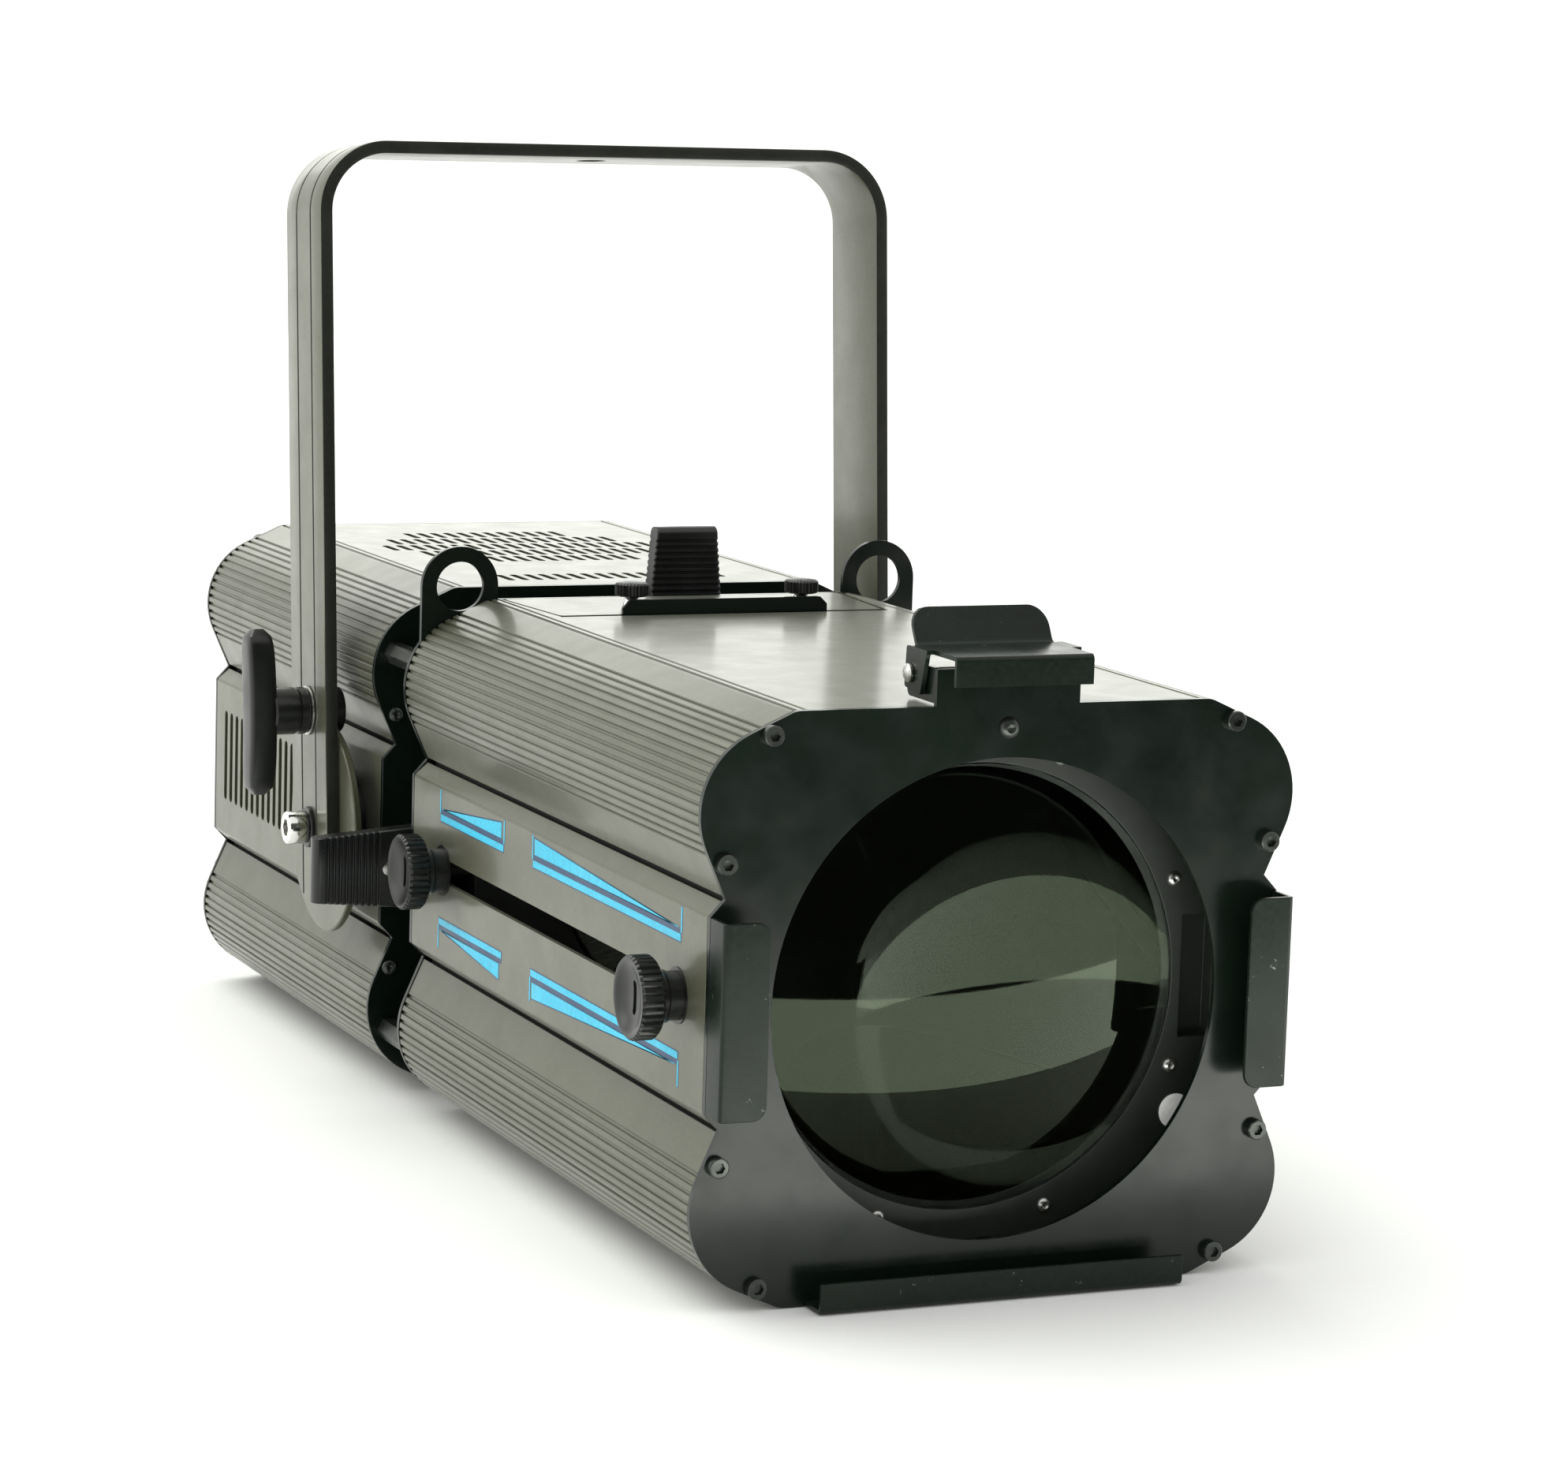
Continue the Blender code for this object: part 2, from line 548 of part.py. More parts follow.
def make_clamp(pivot, black, steel):
    """The locking handle, its washer and the jaw that grips the brake disc."""
    centre = (0, CLAMP_ARM)
    profile = [(0, -138), (9.4, -138), (9.4, -123.6), (3.0, -123.6), (3.0, -109.6), (0, -109.6)]
    handle = turned("tilt_lock_handle", profile, "X", centre, black, sides=28)
    grip = fillet([(-7.8, 0), (-7.8, 33), (7.8, 33), (7.8, -33), (-7.8, -33), (-7.8, 0)], [5, 5, 5, 5], 30)[:-1]
    bar = prism("grip", [(p[0], p[1] + CLAMP_ARM) for p in grip], "X", -149.0, -137.0)
    washer = ring("lock_washer", 9.8, 3.4, "X", centre, -123.3, -122.3, steel, sides=28)
    jaw = ring("lock_jaw", 9.0, 3.4, "X", centre, -113.3, -109.0, black, sides=28)
    for obj in (handle, washer, jaw):
        obj.parent = pivot
    add(handle, bar)


def build():
    for obj in list(bpy.data.objects):
        bpy.data.objects.remove(obj, do_unlink=True)
    body = material("olive_grey_paint", (0.215, 0.21, 0.165), 0.36, 0.55)
    black = material("satin_black", (0.022, 0.027, 0.024), 0.42, 0.2)
    knob = material("black_plastic", (0.018, 0.02, 0.019), 0.5, 0.0)
    steel = material("bright_steel", (0.55, 0.55, 0.53), 0.3, 1.0)
    chrome = material("chrome", (0.8, 0.79, 0.76), 0.08, 1.0)
    glass = material("optical_glass", (0.8, 0.85, 0.8), 0.02, 0.0, 0.35)
    mirror = material("reflector_mirror", (0.9, 0.9, 0.9), 0.05, 1.0)
    ceramic = material("white_ceramic", (0.75, 0.73, 0.68), 0.6, 0.0)

    make_shells(body)
    make_side_panels(body)
    make_front_plate(black)
    make_gate_plates(black)
    make_gate(steel)
    make_cover(body, black, knob)
    make_latch(black, steel)
    make_optics(glass, black, steel, knob)
    make_shutter("top", 126.0, 10.0, -64.0, steel, knob)
    make_shutter("left", 142.0, -5.0, -66.5, steel, knob)
    make_shutter("bottom", 98.0, 0.0, -69.0, steel, knob)
    make_shutter("right", 142.0, 0.0, -71.5, steel, knob)
    make_lamp_house(mirror, glass, ceramic, black, steel)
    make_tilt_hardware(-1, "left", body, knob, chrome)
    make_tilt_hardware(1, "right", body, knob, chrome)

    for obj in list(bpy.data.objects):
        obj.location.z = AXIS_Z * MM
    pivot = bpy.data.objects.new("yoke_pivot", None)
    bpy.context.scene.collection.objects.link(pivot)
    pivot.location = (0, 0, AXIS_Z * MM)
    pivot.rotation_euler.x = math.radians(YOKE_LEAN)
    make_yoke(body, pivot)
    make_clamp(pivot, knob, steel)


build()
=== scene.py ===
"""Looks of the stage spotlight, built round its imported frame.

Sizes are in millimetres and heights are counted from the optical axis, as on the
drawing of the lamp; finish_piece() turns them into metres in the frame.
"""
import json
import math

import bmesh
import bpy
from mathutils import Matrix, Vector


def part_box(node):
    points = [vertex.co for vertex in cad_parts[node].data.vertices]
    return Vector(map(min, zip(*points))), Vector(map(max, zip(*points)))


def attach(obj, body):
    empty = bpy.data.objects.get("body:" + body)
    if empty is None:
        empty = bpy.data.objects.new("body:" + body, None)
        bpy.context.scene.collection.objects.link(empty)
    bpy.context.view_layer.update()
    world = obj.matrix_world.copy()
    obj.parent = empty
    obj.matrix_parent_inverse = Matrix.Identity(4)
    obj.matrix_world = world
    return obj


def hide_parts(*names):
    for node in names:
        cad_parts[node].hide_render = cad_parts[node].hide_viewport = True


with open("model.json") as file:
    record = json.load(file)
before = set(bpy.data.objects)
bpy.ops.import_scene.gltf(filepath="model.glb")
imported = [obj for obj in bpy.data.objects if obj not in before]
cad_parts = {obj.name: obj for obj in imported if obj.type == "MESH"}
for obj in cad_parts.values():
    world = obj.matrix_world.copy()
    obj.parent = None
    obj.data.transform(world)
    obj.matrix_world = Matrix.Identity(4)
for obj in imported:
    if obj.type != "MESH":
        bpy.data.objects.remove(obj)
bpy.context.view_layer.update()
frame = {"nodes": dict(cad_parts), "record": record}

MM = 0.001
AXIS = (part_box("pivot_bolt_left")[0].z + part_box("pivot_bolt_left")[1].z) / 2 / MM


def edges(node):
    """Lowest and highest corner of a CAD node, in mm with heights from the optical axis."""
    low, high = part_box(node)
    lift = Vector((0, 0, AXIS))
    return low / MM - lift, high / MM - lift


# ---- sizes that the frame gives ----------------------------------------
PLATE = edges("shutter_plate")[1].y - edges("shutter_plate")[0].y
GAP = 0.3
HALF_Z = AXIS                                          # the base is as far down as the top is up
FRONT_Y = edges("front_top_shell")[0].y - GAP - PLATE  # front face of the front plate
GATE_Y = edges("shutter_plate")[0].y
BULKHEAD_Y = edges("rear_bulkhead")[0].y
REAR_Y = edges("rear_plate")[1].y
PANEL_X = -edges("front_left_panel")[0].x
RUNNER_Y = edges("front_plate")[0].y
YOKE_X = -edges("yoke")[0].x
FOCUS_KNOB = (edges("focus_knob")[0] + edges("focus_knob")[1]) / 2
ZOOM_KNOB = (edges("zoom_knob")[0] + edges("zoom_knob")[1]) / 2
LATCH_AXIS = tuple((edges("latch_pin")[0][k] + edges("latch_pin")[1][k]) / 2 for k in (1, 2))

# ---- sizes of the body's section ----------------------------------------
TOP_FLAT_X = 76.5
SLOPE_CORNER = (118.6, 81.4)
LOBE_RADIUS = 29.0
NOTCH = (99.9, 38.6)
PANEL_EDGE_Z = 33.0
SHELL = 2.5
APERTURE_RADIUS = 82.5
GATE_RADIUS = 37.0
RIB_PITCH = 3.4
RIB_WIDTH = 1.7
RIB_DEPTH = 0.95
RIB_COUNT = 16

YOKE_THICK = 5.1
YOKE_WIDTH = 45.4
YOKE_TOP = 272.0
YOKE_CORNER = 28.0
YOKE_TIP = -7.0
YOKE_LEAN = Matrix.Rotation(math.radians(-5.0), 4, "X")
CLAMP_ARM = 46.7
PIVOT_HOLE_RADIUS = 4.6
RUNNER_FACE = 16.5  # how far a side runner's lip reaches inwards
ROD_Z = -70.0


# ---- materials ----------------------------------------------------------
def nodes_of(name):
    mat = bpy.data.materials.new(name)
    mat.use_nodes = True
    tree = mat.node_tree
    return mat, tree, tree.nodes["Principled BSDF"]


def noise(tree, scale, detail=3.0, rough=0.55, stretch=None):
    """A noise texture in the object's own metres."""
    where = tree.nodes.new("ShaderNodeTexCoord").outputs["Object"]
    if stretch:
        mapping = tree.nodes.new("ShaderNodeMapping")
        mapping.inputs["Scale"].default_value = stretch
        tree.links.new(where, mapping.inputs["Vector"])
        where = mapping.outputs["Vector"]
    node = tree.nodes.new("ShaderNodeTexNoise")
    node.inputs["Scale"].default_value = scale
    node.inputs["Detail"].default_value = detail
    node.inputs["Roughness"].default_value = rough
    tree.links.new(where, node.inputs["Vector"])
    return node.outputs["Fac"]


def spread(tree, value, low, high, out_low, out_high):
    node = tree.nodes.new("ShaderNodeMapRange")
    node.inputs["From Min"].default_value = low
    node.inputs["From Max"].default_value = high
    node.inputs["To Min"].default_value = out_low
    node.inputs["To Max"].default_value = out_high
    tree.links.new(value, node.inputs["Value"])
    return node.outputs["Result"]


def mixed(tree, factor, one, two):
    """Colour mix; one and two are colours or sockets."""
    node = tree.nodes.new("ShaderNodeMix")
    node.data_type = "RGBA"
    tree.links.new(factor, node.inputs["Factor"])
    for socket, value in ((node.inputs[6], one), (node.inputs[7], two)):
        if isinstance(value, tuple):
            socket.default_value = (*value, 1.0)
        else:
            tree.links.new(value, socket)
    return node.outputs[2]


def times(tree, a, b):
    node = tree.nodes.new("ShaderNodeMath")
    node.operation = "MULTIPLY"
    tree.links.new(a, node.inputs[0])
    tree.links.new(b, node.inputs[1])
    return node.outputs[0]


def look(name, color, rough, vary=0.18, rough_vary=0.07, grain=900.0, depth=0.02,
         stretch=None, wear=None, **shader):
    """A finish whose tone, gloss and fine relief vary as a made surface's do.

    wear is (share, colour): small marks where the coat is rubbed through.
    Other words set the shader's own sockets.
    """
    mat, tree, bsdf = nodes_of(name)
    for socket, value in shader.items():
        bsdf.inputs[socket.replace("_", " ")].default_value = value
    cloud = noise(tree, 22.0)
    dust = noise(tree, grain * 0.6, 2.0, stretch=stretch)
    dark = tuple(c * (1 - vary) for c in color)
    pale = tuple(min(1.0, c * (1 + vary)) for c in color)
    tone = mixed(tree, spread(tree, cloud, 0.35, 0.65, 0, 1), dark, pale)
    speck = tuple(min(1.0, c * 1.5) for c in color)
    flecks = mixed(tree, spread(tree, dust, 0.35, 0.7, 0, 0.5), tone, speck)
    if wear:
        share, bare = wear
        rubbed = spread(tree, noise(tree, 260.0, 4.0, 0.7), 0.72 - share, 0.76 - share, 0, 1)
        patch = spread(tree, noise(tree, 35.0), 0.5, 0.62, 0, 1)
        flecks = mixed(tree, times(tree, rubbed, patch), flecks, bare)
    tree.links.new(flecks, bsdf.inputs["Base Color"])
    patches = noise(tree, 60.0, stretch=stretch)
    gloss = spread(tree, patches, 0.3, 0.7, rough - rough_vary, rough + rough_vary)
    tree.links.new(gloss, bsdf.inputs["Roughness"])
    bump = tree.nodes.new("ShaderNodeBump")
    bump.inputs["Strength"].default_value = 0.5
    bump.inputs["Distance"].default_value = depth * MM
    tree.links.new(noise(tree, grain, 2.0, stretch=stretch), bump.inputs["Height"])
    tree.links.new(bump.outputs["Normal"], bsdf.inputs["Normal"])
    return mat


def clear_glass(name, tint, mirror=(1.0, 1.0, 1.0)):
    """mirror tints and weakens what the faces reflect, as a coating does."""
    mat, tree, bsdf = nodes_of(name)
    bsdf.inputs["Transmission Weight"].default_value = 1.0
    bsdf.inputs["IOR"].default_value = 1.52
    bsdf.inputs["Specular Tint"].default_value = (*mirror, 1.0)
    dark = tuple(c * 0.985 for c in tint)
    tone = mixed(tree, spread(tree, noise(tree, 30.0), 0.3, 0.7, 0, 1), dark, tint)
    tree.links.new(tone, bsdf.inputs["Base Color"])
    haze = spread(tree, noise(tree, 25.0, 0.0), 0.45, 0.8, 0.0, 0.003)
    tree.links.new(haze, bsdf.inputs["Roughness"])
    return mat


STEEL_GREY = (0.42, 0.42, 0.4)
LOOKS = {
    "olive_paint": look("olive_paint", (0.048, 0.0495, 0.028), 0.40, 0.08, 0.05, 1100.0, 0.010,
                        Metallic=0.1, IOR=1.5, Specular_Tint=(1.0, 1.0, 0.86, 1.0),
                        Coat_Weight=0.42, Coat_Roughness=0.15,
                        Sheen_Weight=0.12, Sheen_Roughness=0.35),
    "black_paint": look("black_paint", (0.003, 0.006, 0.004), 0.22, 0.25, 0.05, 1000.0, 0.005,
                        wear=(0.008, (0.10, 0.11, 0.095)), IOR=1.42),
    "black_plastic": look("black_plastic", (0.006, 0.007, 0.0063), 0.31, 0.2, 0.07, 1400.0, 0.02, IOR=1.47),
    "bright_steel": look("bright_steel", (0.5, 0.5, 0.48), 0.3, 0.08, 0.08, 500.0, 0.004,
                         stretch=(1, 1, 12), Metallic=1.0),
    "chrome": look("chrome", (0.78, 0.77, 0.74), 0.13, 0.04, 0.05, 700.0, 0.003, Metallic=1.0),
    "optical_glass": clear_glass("optical_glass", (0.93, 0.97, 0.93), (0.36, 0.44, 0.31)),
    "reflector_mirror": look("reflector_mirror", (0.30, 0.36, 0.26), 0.10, 0.04, 0.04, 300.0, 0.002,
                             Metallic=1.0),
    "white_ceramic": look("white_ceramic", (0.72, 0.7, 0.65), 0.6, 0.06, 0.1, 700.0, 0.05),
    "quartz_glass": clear_glass("quartz_glass", (0.97, 0.97, 0.97)),
}
RUNNER_PAINT = look("scuffed_black_paint", (0.006, 0.010, 0.007), 0.28, 0.3, 0.06, 800.0, 0.008,
                    wear=(0.055, STEEL_GREY), IOR=1.3)
INNER_BLACK = look("anodised_black", (0.012, 0.015, 0.012), 0.5, 0.15, 0.04, 300.0, 0.002)
# painted shade: near-black finish for the yoke bar's narrow sides, standing in for the shade they fall in
BAR_EDGE_PAINTED_SHADE = look("bar_edge_painted_shade", (0.012, 0.0135, 0.010), 0.4, 0.2, 0.06, 1000.0, 0.012, IOR=1.45)
SCREW_STEEL = look("black_oxide_screws", (0.05, 0.055, 0.05), 0.28, 0.3, 0.08, 600.0, 0.01, Metallic=0.8)
MARK_BLUE = look("printed_blue", (0.012, 0.40, 0.60), 0.4, 0.05, 0.05, 900.0, 0.01)
MARK_EDGE = look("printed_dark_blue", (0.004, 0.035, 0.10), 0.4, 0.05, 0.05, 900.0, 0.01)
MARK_WHITE = look("white_dot", (0.8, 0.8, 0.78), 0.5, 0.03, 0.05, 900.0, 0.01)


# ---- outlines -----------------------------------------------------------
def fillet(corners, radii, facet=6):
    """Points of an open line whose inner corners are rounded by arcs."""
    points = [Vector(corners[0])]
    for before, corner, after, radius in zip(corners, corners[1:], corners[2:], radii):
        a, b, c = Vector(before), Vector(corner), Vector(after)
        u, v = (a - b).normalized(), (c - b).normalized()
        half = math.acos(max(-1.0, min(1.0, u.dot(v)))) / 2
        reach = radius / math.tan(half)
        centre = b + (u + v).normalized() * radius / math.sin(half)
        start, end = b + u * reach - centre, b + v * reach - centre
        turn = start.angle_signed(end)
        steps = max(2, round(abs(math.degrees(turn)) / facet))
        for i in range(steps + 1):
            points.append(centre + Matrix.Rotation(-turn * i / steps, 2) @ start)
    points.append(Vector(corners[-1]))
    return points


def offset(points, distance):
    """The line moved sideways, to its left, with mitred corners."""
    moved = []
    for i, point in enumerate(points):
        before = points[i] - points[i - 1] if i > 0 else points[1] - points[0]
        after = points[i + 1] - points[i] if i < len(points) - 1 else before
        n1 = Vector((-before.y, before.x)).normalized()
        n2 = Vector((-after.y, after.x)).normalized()
        middle = (n1 + n2).normalized()
        moved.append(point + middle * distance / max(0.3, middle.dot(n1)))
    return moved


def strip(points, thickness):
    return list(points) + list(reversed(offset(points, thickness)))


def arc(centre, radius, start, end, steps):
    angles = [math.radians(start + (end - start) * i / steps) for i in range(steps + 1)]
    return [Vector((centre[0] + radius * math.cos(a), centre[1] + radius * math.sin(a))) for a in angles]


def rounded(corners, radius, facet=10):
    """A closed outline whose corners are all rounded by one radius."""
    first = (Vector(corners[0]) + Vector(corners[-1])) / 2
    line = fillet([first, *corners, first], [radius] * len(corners), facet)
    return line[:-1]


def rectangle(x0, x1, y0, y1):
    return [(x0, y0), (x1, y0), (x1, y1), (x0, y1)]


def half_section(clear=0.0):
    """Outer line of the upper shell, right groove to left groove."""
    right = [(NOTCH[0], NOTCH[1] + clear), SLOPE_CORNER, (TOP_FLAT_X, HALF_Z)]
    corners = right + [(-x, z) for x, z in reversed(right)]
    return fillet(corners, [LOBE_RADIUS, 8.0, 8.0, LOBE_RADIUS], 5)


def body_outline():
    top = half_section()
    left = [Vector((-PANEL_X, PANEL_EDGE_Z)), Vector((-PANEL_X, -PANEL_EDGE_Z))]
    bottom = [Vector((-p.x, -p.y)) for p in top]
    right = [Vector((PANEL_X, -PANEL_EDGE_Z)), Vector((PANEL_X, PANEL_EDGE_Z))]
    return top + left + bottom + right


def grooved(line, centres, width, depth):
    """The open line with a shallow groove sunk at each distance along it."""
    lengths = [0.0]
    for a, b in zip(line, line[1:]):
        lengths.append(lengths[-1] + (b - a).length)

    def at(s, sunk):
        i = max(k for k in range(len(line) - 1) if lengths[k] <= s + 1e-9)
        t = (s - lengths[i]) / max(1e-9, lengths[i + 1] - lengths[i])
        way = (line[i + 1] - line[i]).normalized()
        return line[i].lerp(line[i + 1], t) + Vector((-way.y, way.x)) * sunk

    marks = [(s, line[i], 0.0) for i, s in enumerate(lengths)
             if all(abs(s - c) > width * 0.62 for c in centres)]
    profile = ((-0.5, 0.0), (-0.42, 0.12), (-0.24, 0.9), (0.0, 1.0),
               (0.24, 0.9), (0.42, 0.12), (0.5, 0.0))
    for centre in centres:
        for along, sunk in profile:
            s = centre + along * width
            marks.append((s, at(s, sunk * depth), sunk))
    return [point for _, point, _ in sorted(marks, key=lambda m: m[0])]


# ---- meshes -------------------------------------------------------------
def finish_piece(name, bm, mat, body, replaces=(), bevel=0.0, lean=False, angle=35):
    """Turns a bmesh drawn in millimetres into a piece that rides on its body."""
    bmesh.ops.recalc_face_normals(bm, faces=bm.faces[:])
    if bm.calc_volume(signed=True) < 0:
        bmesh.ops.reverse_faces(bm, faces=bm.faces[:])
    mesh = bpy.data.meshes.new(name)
    bm.to_mesh(mesh)
    bm.free()
    mesh.transform(Matrix.Scale(MM, 4))
    if lean:
        mesh.transform(YOKE_LEAN)
    mesh.transform(Matrix.Translation((0, 0, AXIS * MM)))
    mesh.shade_smooth()
    mesh.set_sharp_from_angle(angle=math.radians(angle))
    obj = bpy.data.objects.new(name, mesh)
    bpy.context.scene.collection.objects.link(obj)
    mesh.materials.append(LOOKS[mat] if isinstance(mat, str) else mat)
    if bevel:
        rounding = obj.modifiers.new("edges", "BEVEL")
        rounding.width = bevel * MM
        rounding.segments = 2
        rounding.limit_method = "ANGLE"
        rounding.angle_limit = math.radians(40)
        rounding.harden_normals = True
    if body:
        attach(obj, body)
    if replaces:
        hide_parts(*([replaces] if isinstance(replaces, str) else replaces))
    return obj


def to_axis(axis, u, v, w):
    """A point drawn at (u, v) with height w along the named axis."""
    return {"Y": (u, w, v), "X": (w, u, v), "Z": (u, v, w)}[axis]


def skin(bm, loops):
    """Joins rings of equal count into a tube and closes its two ends."""
    count = len(loops[0])
    for one, two in zip(loops, loops[1:]):
        for i in range(count):
            j = (i + 1) % count
            bm.faces.new((one[i], one[j], two[j], two[i]))
    bm.faces.new(loops[0])
    bm.faces.new(list(reversed(loops[-1])))
    return bm


def add_prism(bm, outline, axis, low, high):
    return skin(bm, [[bm.verts.new(to_axis(axis, p[0], p[1], height)) for p in outline]
                     for height in (low, high)])


def add_turned(bm, profile, axis, centre, sides=48, wave=None):
    """A (radius, height) profile turned about an axis; wave(angle, radius) shifts each radius."""
    rings = []
    for radius, height in profile:
        if radius == 0:
            rings.append([bm.verts.new(to_axis(axis, centre[0], centre[1], height))])
            continue
        ring = []
        for i in range(sides):
            a = math.tau * i / sides
            r = wave(a, radius) if wave else radius
            spot = (centre[0] + r * math.cos(a), centre[1] + r * math.sin(a))
            ring.append(bm.verts.new(to_axis(axis, *spot, height)))
        rings.append(ring)
    pairs = list(zip(rings, rings[1:]))
    if profile[0][0] > 0:
        pairs.append((rings[-1], rings[0]))
    for one, two in pairs:
        for i in range(sides):
            j = (i + 1) % sides
            corners = [one[i % len(one)], one[j % len(one)], two[j % len(two)], two[i % len(two)]]
            unique = list(dict.fromkeys(corners))
            if len(unique) > 2:
                bm.faces.new(unique)
    return bm


def prism(outline, axis, low, high):
    return add_prism(bmesh.new(), outline, axis, low, high)


def turned(profile, axis, centre, sides=48, wave=None):
    return add_turned(bmesh.new(), profile, axis, centre, sides, wave)


def tool(*fills):
    """A cutter made by calling each fill on one bmesh."""
    bm = bmesh.new()
    for fill in fills:
        fill(bm)
    return bm


def drill(radius, axis, centre, low, high, sides=48):
    """A fill for tool(): a round bar along the named axis."""
    profile = [(0, low), (radius, low), (radius, high), (0, high)]
    return lambda bm: add_turned(bm, profile, axis, centre, sides)


def shape(obj, cutter_bm, operation="DIFFERENCE", lean=False):
    """Cuts or joins a bmesh drawn in millimetres, and keeps the result."""
    cutter = finish_piece(obj.name + "_tool", cutter_bm, "chrome", None, lean=lean)
    step = obj.modifiers.new("shape", "BOOLEAN")
    step.operation = operation
    step.solver = "EXACT"
    step.object = cutter
    while obj.modifiers[0] != step:
        obj.modifiers.move(len(obj.modifiers) - 1, 0)
    kept = [m for m in obj.modifiers if m != step]
    for modifier in kept:
        modifier.show_viewport = False
    bpy.context.view_layer.update()
    result = bpy.data.meshes.new_from_object(obj.evaluated_get(bpy.context.evaluated_depsgraph_get()))
    obj.modifiers.remove(step)
    old = obj.data
    result.name = obj.name
    obj.data = result
    while len(result.materials) > 1:
        result.materials.pop(index=len(result.materials) - 1)
    result.shade_smooth()
    result.set_sharp_from_angle(angle=math.radians(35))
    bpy.data.meshes.remove(old)
    for modifier in kept:
        modifier.show_viewport = True
    bpy.data.objects.remove(cutter, do_unlink=True)
    return obj


def add_socket_screw(bm, centre, axis, face, way, radius=3.5, height=3.0):
    """Cap screw with a hexagon socket; face is where it seats, way its direction."""
    def up(h):
        return face + way * h
    add_turned(bm, [(0, up(-1.0)), (radius * 0.55, up(-1.0)), (radius * 0.55, up(0)), (radius, up(0)),
                    (radius, up(height - 0.4)), (radius * 0.88, up(height)), (radius * 0.55, up(height)),
                    (radius * 0.52, up(height * 0.45)), (0, up(height * 0.4))], axis, centre, 30,
               lambda a, r: r if r > radius * 0.6 else r * (0.93 + 0.07 * math.cos(6 * a)))


def add_pan_screw(bm, centre, axis, face, way, radius=3.6, height=2.2):
    """Domed screw head with a cross recess suggested by a four-lobed dip."""
    def up(h):
        return face + way * h
    angles = [math.radians(t) for t in (90, 72, 54, 38, 28)]
    dome = [(radius * math.sin(t), up(height * math.cos(t))) for t in angles]
    profile = [(0, up(-1.0)), (radius * 0.5, up(-1.0)), (radius * 0.5, up(0)), *dome,
               (radius * 0.3, up(height * 0.55)), (0, up(height * 0.4))]
    add_turned(bm, profile, axis, centre, 32,
               lambda a, r: r if r > radius * 0.4 else r * (0.8 + 0.35 * abs(math.cos(2 * a))))


# ---- housing ------------------------------------------------------------
def rib_centres(line):
    total = sum((b - a).length for a, b in zip(line, line[1:]))
    first = 15.4
    ribs = [first + RIB_PITCH * i for i in range(RIB_COUNT)]
    last_slope = ribs[-1] + 13.6
    ribs += [last_slope, last_slope + 3.4]
    return sorted(ribs + [total - r for r in ribs])


def vent_spots():
    """Centres of the staggered slots in the rear top."""
    pitch, row_pitch, first = 6.05, 22.4, 52.5
    spots = []
    for row, count in enumerate((12, 17, 20, 17, 12)):
        spots += [((i - (count - 1) / 2) * pitch, first + row * row_pitch) for i in range(count)]
    spots += [((i - 7.5) * pitch, -11.0) for i in range(16)]
    return spots


def slot_outline(x, y, half_x, half_y, steps=6):
    """A slot with round ends, long along y."""
    run = half_y - half_x
    return arc((x, y + run), half_x, 0, 180, steps) + arc((x, y - run), half_x, 180, 360, steps)


def make_shell(node, low, high, flip):
    plain = half_section(0.9)
    outer = grooved(plain, rib_centres(plain), RIB_WIDTH, RIB_DEPTH)
    inner = list(reversed(offset(plain, SHELL)))
    sign = -1 if flip else 1
    outline = [Vector((sign * p.x, sign * p.y)) for p in outer + inner]
    bm = prism(outline, "Y", low, high)
    return finish_piece(node + "_ribbed", bm, "olive_paint", "housing", replaces=node, angle=28)


def make_shells():
    for end in ("front", "rear"):
        for side in ("top", "bottom"):
            node = f"{end}_{side}_shell"
            low, high = edges(node)
            obj = make_shell(node, low.y, high.y, side == "bottom")
            if node == "front_top_shell":
                hatch = [(-67.2, -134.9), (67.2, -134.9), (72.2, -70.0), (-72.2, -70.0)]
                shape(obj, prism(hatch, "Z", 90, 110))
            if node == "rear_top_shell":
                shape(obj, tool(*[
                    lambda bm, x=x, y=y: add_prism(bm, slot_outline(x, y, 1.55, 9.3), "Z", 90, 110)
                    for x, y in vent_spots()]))


def panel_line():
    corners = [(NOTCH[0], NOTCH[1] - 0.9), (PANEL_X, PANEL_EDGE_Z),
               (PANEL_X, -PANEL_EDGE_Z), (NOTCH[0], -NOTCH[1] + 0.9)]
    return fillet(corners, [2.2, 2.2], 8)


def make_panels():
    wall = 2.0
    for end in ("front", "rear"):
        for side, sign in (("left", -1), ("right", 1)):
            node = f"{end}_{side}_panel"
            low, high = edges(node)
            outline = [Vector((sign * p.x, p.y)) for p in strip(panel_line(), -wall)]
            obj = finish_piece(node + "_formed", prism(outline, "Y", low.y, high.y),
                               "olive_paint", "housing", replaces=node, bevel=0.3)
            if node == "front_left_panel":
                front, rear = FOCUS_KNOB.y - 9, ZOOM_KNOB.y + 9
                z = FOCUS_KNOB.z
                slot = rounded(rectangle(front, rear, z - 4.5, z + 4.5), 4.4, 20)
                shape(obj, prism(slot, "X", -115, -95))
            if end == "rear":
                x = sorted((sign * 95, sign * 115))
                fills = []
                for i in range(13):
                    vent = [(p.x, p.y + 1.5) for p in slot_outline(80 + 8 * i, 0, 2.0, 19.5)]
                    fills.append(lambda bm, vent=vent: add_prism(bm, vent, "X", *x))
                shape(obj, tool(*fills, drill(PIVOT_HOLE_RADIUS, "X", (0, 0), *x)))


